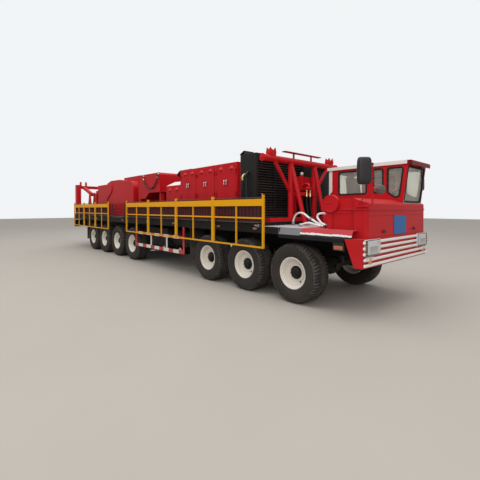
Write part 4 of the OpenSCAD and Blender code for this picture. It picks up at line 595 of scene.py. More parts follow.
def tyreSurface(w, sign):
    # radius and offset run round the section; zigzag grooves and slanted shoulder slots lower the crown
    h, big, r0 = w["tyreHalf"], w["tyreRadius"], w["rimRadius"]
    bead = [(0.001, 0.033), (0.016, 0.019), (0.04, 0.012), (0.075, 0.004), (0.11, 0), (0.16, 0.003)]
    edge = [(0.07, 0.008), (0.058, 0.011), (0.046, 0.015), (0.034, 0.02), (0.022, 0.028), (0.012, 0.04),
            (0.006, 0.055), (0.003, 0.072), (0.001, 0.09)]
    key = np.array([(r0 + q, h - d) for q, d in bead] + [(big - q, h - d) for q, d in edge])
    crown = np.linspace(h - 0.1, -(h - 0.1), 21)
    sec = np.vstack([key, np.stack([np.full(21, big), crown], -1), key[::-1] * (1, -1)])
    n = w["around"]
    a = np.linspace(0, tau, n, endpoint=False)[:, None]
    r, y = sec[:, 0][None] + 0 * a, sec[:, 1][None] + 0 * a
    turns = a * w["lugs"] / tau
    zig = w["zig"] * (np.abs((turns % 1) * 2 - 1) * 2 - 1)
    cut = np.clip(1.7 - np.abs(np.abs(y - zig) - w["grooveAt"]) / w["grooveHalf"], 0, 1)
    lane = np.clip(1.6 - np.abs(np.abs(y) - w["laneAt"] - zig * 0.8) / w["laneHalf"], 0, 1) * (r > big - 0.02)
    slant = (turns + np.sign(y) * 0.25 + np.abs(y) * 4.0) % 1
    shoulder = (np.abs(y) > w["slotFrom"]) & (r > big - 0.046)
    slot = np.clip(0.5 + 7.0 * (0.13 - np.abs(slant - 0.5)), 0, 1) * shoulder
    cut = np.maximum(np.maximum(cut * (np.abs(y) < 0.08), lane), slot)
    rib = 0.5 + 0.5 * np.cos(2 * np.pi * turns * 2)
    side = (r > big - 0.125) & (r <= big - 0.062)
    y = y + np.sign(y) * w["rib"] * rib * side
    r = r - w["groove"] * cut
    p = np.stack([r * np.cos(a), sign * y, r * np.sin(a)], -1)
    # the cut values carry painted shade that darkens the grooves, while -1 marks the worn crown and 2 the pale shoulder
    # ticks
    worn = np.where((cut < 0.1) & (sec[:, 0][None] > big - 0.05), -1.0, cut)
    ticks = (np.abs(sec[:, 0][None] - big + 0.064) < 0.008) & (np.sin(a * 2 + 0.6) > 0.1)
    ticks = ticks & (np.arange(n)[:, None] % 4 == 0)
    worn = np.where(ticks & (sec[:, 1][None] > 0), 2.0, worn)
    return p.reshape(-1, 3), gridFaces(n, len(sec), True, False), worn.reshape(-1)


def rimSection(w):
    # a closed section as radius and offset: outer lip, stepped well and disc, then back along the inside
    r, h = w["rimRadius"], w["rimHalf"]
    outer = [[0.002, -0.02], [0.004, -0.004], [-0.004, 0], [-0.014, -0.003], [-0.02, -0.016], [-0.022, -0.036],
             [-0.04, -0.042], [-0.042, -0.052], [-0.03, -0.058], [-0.032, -0.085], [-0.046, -0.091],
             [-0.047, -0.099], [-0.04, -0.104], [-0.048, -0.125]]
    disc = [[r - 0.052, 0.045], [r - 0.062, 0.034], [r - 0.11, 0.028], [0.172, 0.024], [0.165, 0.046],
            [0.15, 0.056], [0.128, 0.058], [0.1, 0.058], [0.1, -0.018], [0.17, -0.02], [0.172, 0.004],
            [r - 0.052, 0.01]]
    inner = [[-0.044, 0.07], [-0.03, 0.02], [-0.014, 0.001], [-0.004, 0], [0.002, 0.02]]
    return [[r + q, h + d] for q, d in outer] + disc + [[r + q, d - h] for q, d in inner]


hubSection = [[0.0, 0.128], [0.034, 0.127], [0.04, 0.12], [0.07, 0.118], [0.082, 0.108], [0.086, 0.085],
              [0.098, 0.078], [0.124, 0.074], [0.127, 0.066], [0.127, 0.058], [0.099, 0.056], [0.062, 0.054],
              [0.062, 0.002], [0.0, 0.002]]


def ringSpots(centre, side, radius, count, start, out):
    # points at even angles round the wheel's own axis
    a = start + np.arange(count) * tau / count
    return centre + np.stack([radius * np.cos(a), np.full(count, side * out), radius * np.sin(a)], -1)


def makeWheel(w, index, side):
    # tyre, rim, hub with ten nuts and eight bolts, and valve, all turned about the wheel's own axis
    label = f"{'l' if side > 0 else 'r'}{index + 1}"
    name = f"wheel_{label}"
    centre = np.array([w["axles"][index], side * w["side"], w["height"]])
    v, f, cut = tyreSurface(w, side)
    tyre = addPiece(f"tyre_{label}", [(v + centre, f)], "tyreRubber", 30, name, [name], "tyre")
    # the cut attribute brings the painted groove shade to the tyre's finish
    if len(tyre.data.vertices) == len(cut):
        tyre.data.attributes.new("cut", "FLOAT", "POINT").data.foreach_set("value", cut.astype(np.float32))
    addPiece(f"rim_{label}", [turned(rimSection(w), 72, centre, "y", side)], "rimPaint", 40, name)
    hub = [turned(hubSection, 40, centre, "y", side),
           hexHeads(ringSpots(centre, side, *w["nuts"]), (0, side, 0), 0.012, 0.022),
           hexHeads(ringSpots(centre, side, *w["bolts"]), (0, side, 0), 0.006, 0.006)]
    addPiece(f"hub_{label}", hub, "hubIron", 35, name)
    valve = ringSpots(centre, side, *w["valve"])[0]
    addPiece(f"valve_{label}", [
        turned([[0, 0.03], [0.019, 0.03], [0.019, 0.02], [0, 0.02]], 20, valve, "y", side),
        tube([valve + (0, side * 0.03, 0), valve + (0, side * 0.058, 0.004)], 0.005, 8)], "hubIron", 40, name)


for wheelSide in (-1, 1):
    for wheelIndex in range(7):
        makeWheel(wheelShape, wheelIndex, wheelSide)
print("wheels: 14 with tread, rim, hub and valve")

# Small helpers for trim


def placed(part, origin=(0, 0, 0), turn=0.0):
    # points are turned about the upright axis, then moved
    v, f = part
    c, s = math.cos(math.radians(turn)), math.sin(math.radians(turn))
    return np.asarray(v, float) @ np.array([[c, s, 0], [-s, c, 0], [0, 0, 1]]) + np.array(origin, float), f


def ringBand(outline, section, place):
    # a closed section of (away from the opening, out of the panel) carried round a flat outline
    p = np.asarray(outline, float)
    d = np.roll(p, -1, 0) - np.roll(p, 1, 0)
    area = np.sum(p[:, 0] * np.roll(p[:, 1], -1) - p[:, 1] * np.roll(p[:, 0], -1))
    n = np.stack([d[:, 1], -d[:, 0]], -1) / np.linalg.norm(d, axis=1, keepdims=True) * np.sign(area)
    s = np.asarray(section, float)
    uv = p[:, None] + n[:, None] * s[None, :, :1]
    out = np.broadcast_to(s[None, :, 1], uv.shape[:2])
    return place(uv[..., 0], uv[..., 1], out).reshape(-1, 3), gridFaces(len(p), len(s), True, True)


def stack3(a, b, c):
    # three coordinates of any matching shapes as one array of points
    return np.stack(np.broadcast_arrays(a, b, c), -1)


def corners(left, low, right, high):
    # the four corners of a level rectangle
    return [(left, low), (right, low), (right, high), (left, high)]


# Window seals, wiper and door trim
quarterWindow = [(1.322, 2.104), (1.466, 2.003), (1.55, 2.02), (1.622, 2.572), (1.325, 2.58)]
cabWindows = {
    "rear": 5.86, "rightFace": 0.4, "leftFace": 1.35, "radius": 0.045,
    "seal": [(-0.0004, -0.03), (-0.009, -0.03), (-0.013, -0.024), (-0.0145, 0.002), (-0.01, 0.0075),
             (-0.002, 0.0095), (0.01, 0.009), (0.017, 0.006), (0.019, 0.0003), (-0.0004, 0.0003)],
    "right": [corners(0.25, 2.09, 0.885, 2.58), corners(1.03, 2.105, 1.23, 2.578), quarterWindow],
    "left": [corners(0.09, 2.09, 0.33, 2.58), quarterWindow],
    "back": corners(0.55, 2.085, 1.2, 2.585), "screen": corners(0.45, 1.912, 1.3, 2.585),
    "door": corners(0.51, 2.09, 1.09, 2.5),
    "doorLip": [(-0.01, 0.006), (0.01, 0.007), (0.016, 0.0003), (-0.0004, 0.0003)],
    "wiperArm": [(1.02, 2.6), (1.1, 2.5), (1.18, 2.38)],
    "wiperBlade": [(1.075, 2.53), (1.13, 2.45), (1.2, 2.35), (1.275, 2.24)],
    "wiperHub": [[0, 0.03], [0.014, 0.028], [0.017, 0.02], [0.018, 0.0], [0, 0.0]],
}


def screenX(z):
    # the windscreen leans forward from 7.475 at its foot to 7.565 at the roof
    return 7.475 + 0.09 * (np.asarray(z) - 1.89) / 0.74


def makeSeals(w):
    # each seal is laid out flat, then placed on its wall: along the wall, up, and out of it
    r, seal = w["radius"], w["seal"]
    onRight = lambda u, v, q: stack3(w["rear"] + u, w["rightFace"] - q, v)
    onLeft = lambda u, v, q: stack3(w["rear"] + u, w["leftFace"] + q, v)
    parts = [ringBand(roundLoop(o, r), seal, onRight) for o in w["right"]]
    parts += [ringBand(roundLoop(o, r), seal, onLeft) for o in w["left"]]
    parts.append(ringBand(roundLoop(w["back"], r), seal, lambda u, v, q: stack3(w["rear"] - q, u, v)))
    parts.append(ringBand(roundLoop(w["screen"], r), seal, lambda u, v, q: stack3(screenX(v) + q, u, v)))
    addPiece("windowSeals", parts, "rubber", 50)
    thin = seal[:4] + w["doorLip"]
    addPiece("doorSeal", [ringBand(roundLoop(w["door"], r), thin, onLeft)], "rubber", 50, "cab_door")
    lift = lambda points, q: np.array([(float(screenX(z)) + q, y, z) for y, z in points])
    wiper = [tube(lift(w["wiperArm"], 0.022), 0.006, 8), tube(lift(w["wiperBlade"], 0.012), 0.007, 8),
             turned(w["wiperHub"], 16, lift(w["wiperArm"][:1], 0)[0], "x")]
    addPiece("wiper", wiper, "blackPlastic")


makeSeals(cabWindows)
print("seals and wiper")

# Front lamps, corner lamps, markers and tail lamps
lampSet = {
    "finish": {"lampShells": "lampShell", "lampLenses": "lampGlass", "lampBeams": "chrome",
               "amberLamps": "amberLens", "brownLamps": "brownLens", "turnLamps": "orangeLens",
               "lampHousings": "blackPlastic", "tailLamps": "redLens"},
    "boxes": {
        # x from, to, y from, to on the left side, z from, to, rounding
        "lampShells": [(7.571, 7.601, 0.8, 1.322, 1.03, 1.288, 0.012), (7.571, 7.6075, 1.06, 1.3, 0.982, 1.016, 0.006)],
        "lampLenses": [(7.591, 7.6115, 0.853, 1.257, 1.049, 1.27, 0.016),
                       (-7.5295, -7.5, 0.94, 1.045, 1.02, 1.14, 0.012)],
        "lampBeams": [(7.601, 7.6135, 0.925, 1.205, 1.066, 1.182, 0.009)],
        "amberLamps": [(7.591, 7.609, 1.13, 1.185, 0.992, 1.006, 0.006),
                       (7.056, 7.222, 1.315, 1.349, 1.1, 1.164, 0.012),
                       (-7.5295, -7.5, 1.055, 1.15, 1.02, 1.14, 0.012)],
        "brownLamps": [(7.591, 7.612, 1.272, 1.325, z - 0.024, z + 0.024, 0.007) for z in (1.217, 1.16, 1.106)],
        "lampHousings": [(7.591, 7.6045, 0.842, 1.268, 1.038, 1.281, 0.012),
                         (7.591, 7.608, 1.276, 1.319, 1.248, 1.276, 0.005),
                         (7.591, 7.608, 1.276, 1.319, 1.038, 1.066, 0.005),
                         (7.036, 7.24, 1.283, 1.334, 1.084, 1.226, 0.01),
                         (-7.52, -7.49, 0.93, 1.29, 1.01, 1.15, 0.008)],
        "tailLamps": [(-7.5295, -7.5, 1.16, 1.28, 1.02, 1.14, 0.012)],
    },
    "beam": [[0, 0.052], [0.016, 0.051], [0.028, 0.046], [0.034, 0.038], [0.036, 0.03], [0, 0.03]],
    "turn": [[0, 0.033], [0.0315, 0.0308], [0.05075, 0.022], [0.05425, 0.0], [0, 0.0]],
    "beamSpots": [(7.565, -0.905, 1.236), (7.565, 0.905, 1.236)],
    "turnSpots": [(7.581, -1.17, 0.945), (7.581, 1.1, 0.945)],
    "markers": [5.23, 4.02, 1.99, 0.39, -1.575, -4.235, -6.195],
}


def bothSides(box, cuts=3):
    # a rounded box given for the left side, and its mirror image
    x0, x1, y0, y1, z0, z1, radius = box
    return [softBox((x0, min(s * y0, s * y1), z0), (x1, max(s * y0, s * y1), z1), radius, cuts) for s in (-1, 1)]


def makeLamps(s):
    # boxes on both sides, round lenses in front, and a marker on both sides at each place along the deck
    parts = {name: [half for box in s["boxes"].get(name, []) for half in bothSides(box)] for name in s["finish"]}
    parts["lampBeams"] += [turned(s["beam"], 24, spot, "x") for spot in s["beamSpots"]]
    parts["turnLamps"] += [turned(s["turn"], 24, spot, "x") for spot in s["turnSpots"]]
    for x in s["markers"]:
        parts["lampHousings"] += bothSides((x - 0.058, x + 0.058, 1.3495, 1.356, 1.337, 1.393, 0.003), 2)
        parts["amberLamps"] += bothSides((x - 0.052, x + 0.052, 1.352, 1.3675, 1.343, 1.387, 0.007))
    first = {"lampShells": {"stands": ["lamps"], "slotName": "lamp_glass"}}
    for name, finish in s["finish"].items():
        addPiece(name, parts[name], finish, **first.get(name, {}))


makeLamps(lampSet)
print("lamps")

# White bars of the bumper and the hook under it
barShape = {"x": (7.5705, 7.6065), "half": 0.0245, "rows": [0.885, 0.975, 1.065, 1.155, 1.245], "round": 0.0172,
            "long": 1.348, "short": 0.802, "stub": (1.322, 1.3495),
            "hook": ((7.5, -0.3, 0.842), (7.568, -0.215, 0.868))}


def makeBars(b):
    # the two lowest bars run right across; the others stop at the lamps and go on as a stub beyond them
    parts = []
    for k, z in enumerate(b["rows"]):
        (x0, x1), low, high = b["x"], z - b["half"], z + b["half"]
        reach = b["short"] if k > 1 else b["long"]
        parts.append(softBox((x0, -reach, low), (x1, reach, high), b["round"], 4))
        if k > 1:
            parts += bothSides((x0, x1, *b["stub"], low, high, 0.012))
    addPiece("bumperBars", parts, "whitePaint")
    addPiece("bumperHook", [softBox(*b["hook"], 0.008, 3)], "blackPaint")


makeBars(barShape)

# Mirrors on their red tubes
mirrorShape = {
    "turn": 48.0, "post": (7.63, -1.17), "head": (0.216, 0.43, 0.08), "height": 2.365, "headBack": 0.132,
    "headOut": 0.018, "roundBy": (-0.03, 0.343), "roundHeight": 2.09, "clampZ": (2.24, 2.47), "footZ": (1.955, 2.612),
    "leftHead": ((0.1, 0.28, 0.058), (7.455, 1.4115, 2.3)),
    "dish": [[0.0, -0.034], [0.03, -0.032], [0.06, -0.024], [0.078, -0.012], [0.0825, 0.0], [0.0825, 0.01],
             [0.078, 0.013], [0.0, 0.013]],
    "face": [[0.0, 0.0145], [0.073, 0.0145], [0.073, 0.011], [0.0, 0.011]],
    "arm": [(7.385, -1.146, 1.806), (7.46, -1.155, 1.812), (7.57, -1.165, 1.818), (7.617, -1.169, 1.842),
            (7.63, -1.17, 1.9), (7.63, -1.17, 2.05), (7.63, -1.17, 2.25), (7.63, -1.17, 2.49)],
    "stay": [(7.38, -1.146, 1.846), (7.5, -1.157, 1.966), (7.612, -1.168, 2.076), (7.626, -1.14, 2.098),
             (7.6, -0.86, 2.091), (7.598, -0.835, 2.09)],
    "left": [(7.44, 1.352, 1.955), (7.443, 1.385, 1.962), (7.45, 1.412, 1.99), (7.45, 1.412, 2.3), (7.45, 1.412, 2.58),
             (7.443, 1.385, 2.606), (7.44, 1.352, 2.612)],
}


def mirrorHead(size, origin, turn):
    # a housing rounded like a pillow on its back, with a flat glass let into its front
    w, h, d = size[0] / 2, size[1] / 2, size[2]
    a = np.linspace(0, tau, 40, endpoint=False)
    squared = lambda q: np.sign(q) * np.abs(q) ** 0.35
    ring = lambda k, m, q: np.stack([w * k * squared(np.cos(a)), np.full(40, q), h * m * squared(np.sin(a))], -1)
    back = [(0.955, 0.0), (1.0, 0.004), (1.0, 0.28 * d), (0.985, 0.55 * d), (0.93, 0.8 * d), (0.82, 0.94 * d),
            (0.6, 0.995 * d), (0.25, d)]
    solids = []
    for rings in ([ring(k, k, -q) for k, q in back], [ring(0.9, 0.93, q) for q in (-0.002, 0.003)]):
        last = (len(rings) - 1) * 40
        faces = gridFaces(len(rings), 40, False, True).tolist() + [list(range(40)), list(range(last, last + 40))]
        solids.append(placed((np.concatenate(rings), faces), origin, turn))
    return solids


def makeMirrors(m):
    # on the right everything is turned with the post; on the left the head looks straight back
    (px, py), turn = m["post"], m["turn"]
    c, s = math.cos(math.radians(turn)), math.sin(math.radians(turn))
    back, out = m["headBack"], m["headOut"]
    spot = px - back * c - out * s, py - back * s + out * c, m["height"]
    rightHead, rightGlass = mirrorHead(m["head"], spot, turn)
    leftHead, leftGlass = mirrorHead(*m["leftHead"], 90)
    spot = px + m["roundBy"][0], py + m["roundBy"][1], m["roundHeight"]
    roundDish, roundGlass = (placed(turned(m[key], 36), spot, turn) for key in ("dish", "face"))
    clamps = [placed(softBox((-0.062, -0.013, z - 0.014), (0.016, 0.013, z + 0.014), 0.008, 3), (px, py, 0), turn)
              for z in m["clampZ"]]
    addPiece("mirrorHeads", [rightHead, leftHead] + clamps, "blackPlastic", 50,
             stands=["mirrors"], slotName="black_plastic")
    addPiece("roundMirror", [roundDish], "greyPlastic")
    addPiece("mirrorGlasses", [rightGlass, leftGlass, roundGlass], "mirrorFace")
    pipes = [tube(smoothPath(m[key], 6), r, sides)
             for key, r, sides in (("arm", 0.011, 12), ("stay", 0.009, 10), ("left", 0.011, 12))]
    feet = [softBox((7.342, -1.1435, 1.788), (7.432, -1.1302, 1.862), 0.006, 3)]
    feet += [softBox((7.42, 1.35, z - 0.022), (7.46, 1.36, z + 0.022), 0.004, 3) for z in m["footZ"]]
    addPiece("mirrorArms", pipes + feet, "redPaint", 45)


makeMirrors(mirrorShape)
print("bars and mirrors")

# Hoses: four white wrapped ones over the front deck, and black ones at the radiator, the tank and the drive case
hoseShape = {
    "origin": (5.43, 0, 1.42), "radius": 0.0195,
    "routes": [[(0.17, -0.57, 0.03), (0.185, -0.57, 0.12), (0.27, -0.61, 0.22), (0.41, -0.66, 0.27),
                (0.56, -0.705, 0.25), (0.69, -0.745, 0.185), (0.89, -0.805, 0.105), (1.09, -0.86, 0.055),
                (1.21, -0.89, 0.035)],
               [(1.218, -0.7, 0.036), (1.206, -0.75, 0.195), (1.128, -0.826, 0.262), (1.036, -0.876, 0.258),
                (1.006, -0.894, 0.202), (1.058, -0.911, 0.138), (1.132, -0.931, 0.084), (1.217, -0.952, 0.042)],
               [(0.56, -0.86, 0.024), (0.7, -0.905, 0.06), (0.86, -0.95, 0.085), (1.01, -0.985, 0.06),
                (1.217, -1.01, 0.026)],
               [(0.752, -0.764, 0.158), (0.86, -0.8, 0.125), (0.96, -0.83, 0.075), (1.08, -0.89, 0.04),
                (1.217, -0.905, 0.026)]],
    "elbows": [(4.5, 2.485, 0.034, -0.1), (4.63, 2.535, 0.032, 0.0)], "wall": -0.9603, "bend": 0.07,
    "tank": [(0.045, 1.62), (0.178, 1.6)], "tankX": 5.503,
    "redPipe": [(5.3102, 0.17, 2.33), (5.36, 0.168, 2.345), (5.44, 0.155, 2.345), (5.49, 0.14, 2.325),
                (5.508, 0.125, 2.28), (5.508, 0.12, 2.255)],
    "valve": ((5.4753, 0.012, 2.2), (5.552, 0.212, 2.262)),
    "case": [(-0.68, -0.9655, 2.9), (-0.668, -0.983, 2.86), (-0.613, -0.985, 2.705), (-0.5, -0.985, 2.585),
             (-0.34, -0.985, 2.5), (-0.131, -0.985, 2.455), (0.06, -0.985, 2.485), (0.22, -0.985, 2.6),
             (0.325, -0.985, 2.73), (0.385, -0.983, 2.86), (0.39, -0.9655, 2.9)],
    "caseNuts": [((-0.654, -0.984, 2.82), (-0.632, -0.985, 2.76)), ((0.372, -0.984, 2.82), (0.352, -0.985, 2.775))],
    "flange": [[0, 0.04], [0.026, 0.04], [0.032, 0.03], [0.032, 0.0], [0, 0.0]],
    "cap": [[0, 0.074], [0.018, 0.071], [0.033, 0.058], [0.038, 0.04], [0.033, 0.022], [0.024, 0.012],
            [0.024, 0.0], [0, 0.0]],
}


def hosePiece(name, path, radius, finish, sides=14, **names):
    # one hose along its own points
    piece = addPiece(name, [tube(path, radius, sides)], finish, 60, **names)


def collar(start, along, steps, radii):
    # a six-sided fitting: one radius at each step along a straight line
    return tube(np.array(start) + np.outer(steps, along), radii, 6)


def makeWhiteHoses(h):
    # routes start from one corner of the deck; every second ring is a little thinner, like wound tape
    ends = []
    for k, route in enumerate(h["routes"]):
        path = smoothPath(np.array(route) + h["origin"], 14)
        ripple = h["radius"] * (1 - 0.035 * (np.arange(len(path)) % 2))
        stands = () if k else ["hoses"]
        hosePiece(f"whiteHose_{k + 1}", path, ripple, "whiteWrap", stands=stands, slotName="white_wrap")
        for a, b in ((path[0], path[5]), (path[-1], path[-6])):
            ends.append(collar(a, (b - a) / np.linalg.norm(b - a), (-0.002, 0.012, 0.02, 0.055, 0.06),
                               (0.03, 0.03, 0.033, 0.033, 0.026)))
    addPiece("hoseEnds", ends, "zinc", 35)


def makeBlackHoses(h):
    # two elbows turn down off the radiator wall, two hoses hang from the tank valve, one loops along the drive case
    brass, black = [], []
    y, q = h["wall"], h["bend"]
    for k, (x, z, r, lean) in enumerate(h["elbows"]):
        a = np.linspace(0, math.pi / 2, 9)
        bend = stack3(np.full(9, x), y - q * np.sin(a), z + q * np.cos(a))
        (black if k else brass).extend([
            tube(np.vstack([bend, [(x, y - q, z - 0.02), (x, y - q, z - 0.055)]]), r * 0.86, 18),
            collar((x, y, z + q), (0, -1, 0), (0, 0.01, 0.012, 0.026), r * np.array([1.2, 1.2, 1, 1])),
            collar((x, y - q, z + 0.018), (0, 0, -1), (0, 0.034, 0.036, 0.076),
                   r * np.array([1.14, 1.14, 1.02, 1.02]))])
        foot = x + lean
        leg = [(x, y - q, z - 0.05), (x, y - q, z - 0.16), (x + lean * 0.45, y - q + 0.004, (z + 1.5) / 2),
               (foot, y - q, 1.62), (foot, y - q, 1.505)]
        hosePiece(f"coolerHose_{k + 1}", smoothPath(leg, 8), r - 0.009, "hoseRubber")
        brass.append(collar((foot, y - q, 1.502), (0, 0, 1), (0, 0.058), r + 0.004))
    x = h["tankX"]
    for k, (y, low) in enumerate(h["tank"]):
        brass.append(collar((x, y, 2.206), (0, 0, -1), (0, 0.046, 0.051, 0.116, 0.121, 0.161),
                            [0.023, 0.023, 0.017, 0.017, 0.02, 0.018]))
        run = [(x, y, 2.06), (x, y, 1.88), (x + 0.019, y + 0.02, low + 0.08), (x + 0.017, y + 0.03, 1.5),
               (x + 0.017, y + 0.03, 1.4215)]
        hosePiece(f"tankHose_{k + 1}", smoothPath(run, 8), 0.0165, "hoseRubber", 12)
    addPiece("tankValve", [tube(smoothPath(h["redPipe"], 7), 0.03, 16), softBox(*h["valve"], 0.01, 3)], "redPaint", 45)
    hosePiece("caseHose", smoothPath(h["case"], 6), 0.019, "hoseRubber", 12)
    fittings = [turned(h["flange"], 6, (x, -0.9505, z), "y", -1) for x, y, z in (h["case"][0], h["case"][-1])]
    addPiece("brassFittings", brass, "brass", 35)
    addPiece("hoseCollars", black, "hoseRubber", 60)
    addPiece("caseFittings", fittings + [tube(line, 0.025, 6) for line in h["caseNuts"]], "zinc", 35)
    addPiece("tankCap", [turned(h["cap"], 24, (5.25, 0.2, 2.5702), "z")], "whitePaint")


makeWhiteHoses(hoseShape)
makeBlackHoses(hoseShape)
print("hoses")

# Hood: lifting scoops over the doors and bright handles on them
hoodTrim = {
    "scoops": [(1.974, 2.735), (2.323, 2.735), (2.785, 2.735), (3.179, 2.735), (3.612, 2.735), (4.02, 2.735),
               (1.1, 2.325), (1.5, 2.325)],
    "radius": 0.084, "depth": 0.04, "wall": -0.9503, "mouth": -0.966,
    "pairs": [3.81, 2.97, 2.13], "gripFrom": 0.043, "innerEdge": 0.02, "outerEdge": 0.345, "door": -0.957,
    "screwZ": (2.06, 2.24, 2.59, 2.77),
    "grip": [(-0.957, 2.352), (-0.972, 2.352), (-0.984, 2.366), (-0.984, 2.415), (-0.984, 2.464), (-0.972, 2.478),
             (-0.957, 2.478)],
}


def scoop(cx, cz, t):
    # half a flattened dome standing out of the side, cut flat along its foot
    a, q = np.meshgrid(np.linspace(0, math.pi, 13), np.linspace(0, 1, 6), indexing="ij")
    out = t["wall"] - t["depth"] * np.sqrt(np.clip(1 - q ** 2, 0, 1))
    dome = stack3(cx + t["radius"] * q * np.cos(a), out, cz + t["radius"] * q * np.sin(a)).reshape(-1, 3)
    faces = gridFaces(13, 6).tolist()
    faces.append([5, 4, 3, 2, 1, 0] + [12 * 6 + k for k in range(1, 6)])
    faces.append([k * 6 + 5 for k in range(13)])
    return dome, faces


def makeHoodTrim(t):
    # the doors hang in pairs: an odd one in front of each middle line and an even one behind it
    # the scoops wear the lighter red, a painted highlight
    addPiece("hoodScoops", [scoop(x, z, t) for x, z in t["scoops"]], "scoopRedHighlight", 50)
    # a thin black strip under each scoop's foot is painted shade in its mouth
    mouthShades = [softBox((x - 0.06, t["mouth"], z - 0.0035), (x + 0.06, t["wall"], z - 0.0004), 0.001, 2)
              for x, z in t["scoops"]]
    addPiece("scoopMouthShade", mouthShades, "hoseRubber")
    for k, middle in enumerate(t["pairs"]):
        for number, f in ((2 * k + 1, 1), (2 * k + 2, -1)):
            door = f"hood_door_{number}"
            grip = [(middle + f * t["gripFrom"], y, z) for y, z in t["grip"]]
            addPiece(f"handle_{number}", [tube(smoothPath(grip, 5), 0.0118, 10)], "chrome", 40, door)
            screws = [(middle + f * t["outerEdge"], t["door"], z) for z in t["screwZ"]]
            screws += [(middle + f * t["innerEdge"], t["door"], z) for z in (t["screwZ"][0], t["screwZ"][-1])]
            addPiece(f"doorScrews_{number}", [hexHeads(screws, (0, -1, 0), 0.008, 0.004)], "redPaint", 40, door)


makeHoodTrim(hoodTrim)
print("hood trim")

# Fine bars of the folded walkway gratings
gratingShape = {"runs": [(-7.15, -2.68, 3), (-1.0, 5.58, 4)], "edge": 0.045, "pitch": 0.11, "between": 2,
                "y": (1.366, 1.404), "z": (1.522, 1.948), "half": 0.0028}


def makeGratings(g):
    # bars stand at even steps between the solid ones; each is one thin box, moved as a whole array
    spots = []
    for low, high, panels in g["runs"]:
        step = (high - low) / panels
        n = math.floor((step - 2 * g["edge"]) / g["pitch"])
        for k in range(panels):
            q = (np.arange(n)[:, None] + np.arange(1, g["between"] + 1)[None] / (g["between"] + 1)).reshape(-1)
            spots.append(low + k * step + g["edge"] + q * (step - 2 * g["edge"]) / n)
    x = np.concatenate(spots)[:, None]
    corner = np.array([[-1, 0, 0], [1, 0, 0], [1, 1, 0], [-1, 1, 0], [-1, 0, 1], [1, 0, 1], [1, 1, 1], [-1, 1, 1]])
    cells = np.array([[0, 3, 2, 1], [4, 5, 6, 7], [0, 1, 5, 4], [1, 2, 6, 5], [2, 3, 7, 6], [3, 0, 4, 7]])
    faces = (cells[None] + 8 * np.arange(len(x))[:, None, None]).reshape(-1, 4)
    for side, letter in ((-1, "right"), (1, "left")):
        y = side * (g["y"][0] + corner[None, :, 1] * (g["y"][1] - g["y"][0]))
        z = g["z"][0] + corner[None, :, 2] * (g["z"][1] - g["z"][0])
        v = stack3(x + corner[None, :, 0] * g["half"], y, z).reshape(-1, 3)
        addPiece(f"fineBars_{letter}", [(v, faces)], "barRed", 30, f"walkway_{letter}")


makeGratings(gratingShape)

# Black cabinet behind the cab and the bosses of the mast rests
cabinetShape = {"low": (5.02, 0.56, 1.5003), "high": (5.3, 1.3, 2.86), "round": 0.018, "doorStep": 0.345,
                "boss": [[0, 0.012], [0.03, 0.012], [0.044, 0.008], [0.05, 0.0003], [0, 0.0003]]}


def makeCabinet(c):
    # a rounded box with two doors and a latch on its front, and a boss on each side of each mast rest
    low, high = np.array(c["low"]), np.array(c["high"])
    x = high[0]
    parts = [softBox(low, high, c["round"], 4)]
    for y in (low[1], low[1] + c["doorStep"]):
        parts.append(softBox((x - 0.004, y + 0.03, low[2] + 0.05), (x + 0.006, y + 0.365, high[2] - 0.05), 0.004, 3))
    parts.append(softBox((x + 0.004, 0.985, 2.05), (x + 0.022, 1.002, 2.17), 0.006, 3))
    addPiece("sideCabinet", parts, "radiatorBlack")
    bosses = [turned(c["boss"], 28, (5.43, s * y, 2.925), "y", d * s)
              for s in (-1, 1) for y, d in ((1.162, 1), (0.998, -1))]
    addPiece("saddleBosses", bosses, "redPaint")


makeCabinet(cabinetShape)
print("gratings and cabinet")

# Bolts, rivets and small fittings
sideBolts = [
    # x and z from, x and z to, distance out, count, radius, sides
    (4.395, 1.58, 4.395, 2.98, 0.9603, 11, 0.008, (-1, 1)),
    (4.835, 1.58, 4.835, 2.98, 0.9603, 11, 0.008, (-1, 1)),
    (0.955, 1.56, 0.955, 2.4, 0.9503, 7, 0.009, (-1,)),
    (1.665, 1.56, 1.665, 2.4, 0.9503, 7, 0.009, (-1,)),
    (1.76, 2.865, 4.18, 2.865, 0.9503, 15, 0.008, (-1, 1)),
    (1.76, 1.56, 4.18, 1.56, 0.9503, 15, 0.008, (-1,)),
    (-1.02, 2.925, 0.36, 2.925, 0.9503, 10, 0.01, (-1, 1)),
    (-3.95, 1.56, -1.5, 1.56, 1.0003, 16, 0.01, (-1, 1)),
    (-5.02, 1.56, -4.1, 1.56, 1.0303, 7, 0.01, (-1, 1)),
    (-7.35, 1.44, 5.3, 1.44, 1.3503, 30, 0.009, (-1, 1)),
]
frontBolts = [
    # x, y and z from, y and z to, count, radius
    (4.8703, -0.93, 1.6, -0.93, 2.96, 9, 0.008),
    (4.8703, 0.93, 1.6, 0.93, 2.96, 9, 0.008),
    (7.5703, -1.22, 1.276, -0.85, 1.276, 3, 0.004),
    (7.5405, -0.1, 1.325, 0.36, 1.325, 2, 0.006),
    (7.5405, -0.1, 1.64, 0.36, 1.64, 2, 0.006),
]


def makeBolts(sideRows, frontRows):
    # the heads of a row stand at even shares of the way between its two ends
    heads = [hexHeads(np.linspace((x0, s * out, z0), (x1, s * out, z1), n), (0, s, 0), r, 0.006)
             for x0, z0, x1, z1, out, n, r, sides in sideRows for s in sides]
    heads += [hexHeads(np.linspace((x, y0, z0), (x, y1, z1), n), (1, 0, 0), r, 0.006)
              for x, y0, z0, y1, z1, n, r in frontRows]
    addPiece("fasteners", heads, "darkRed", 30)


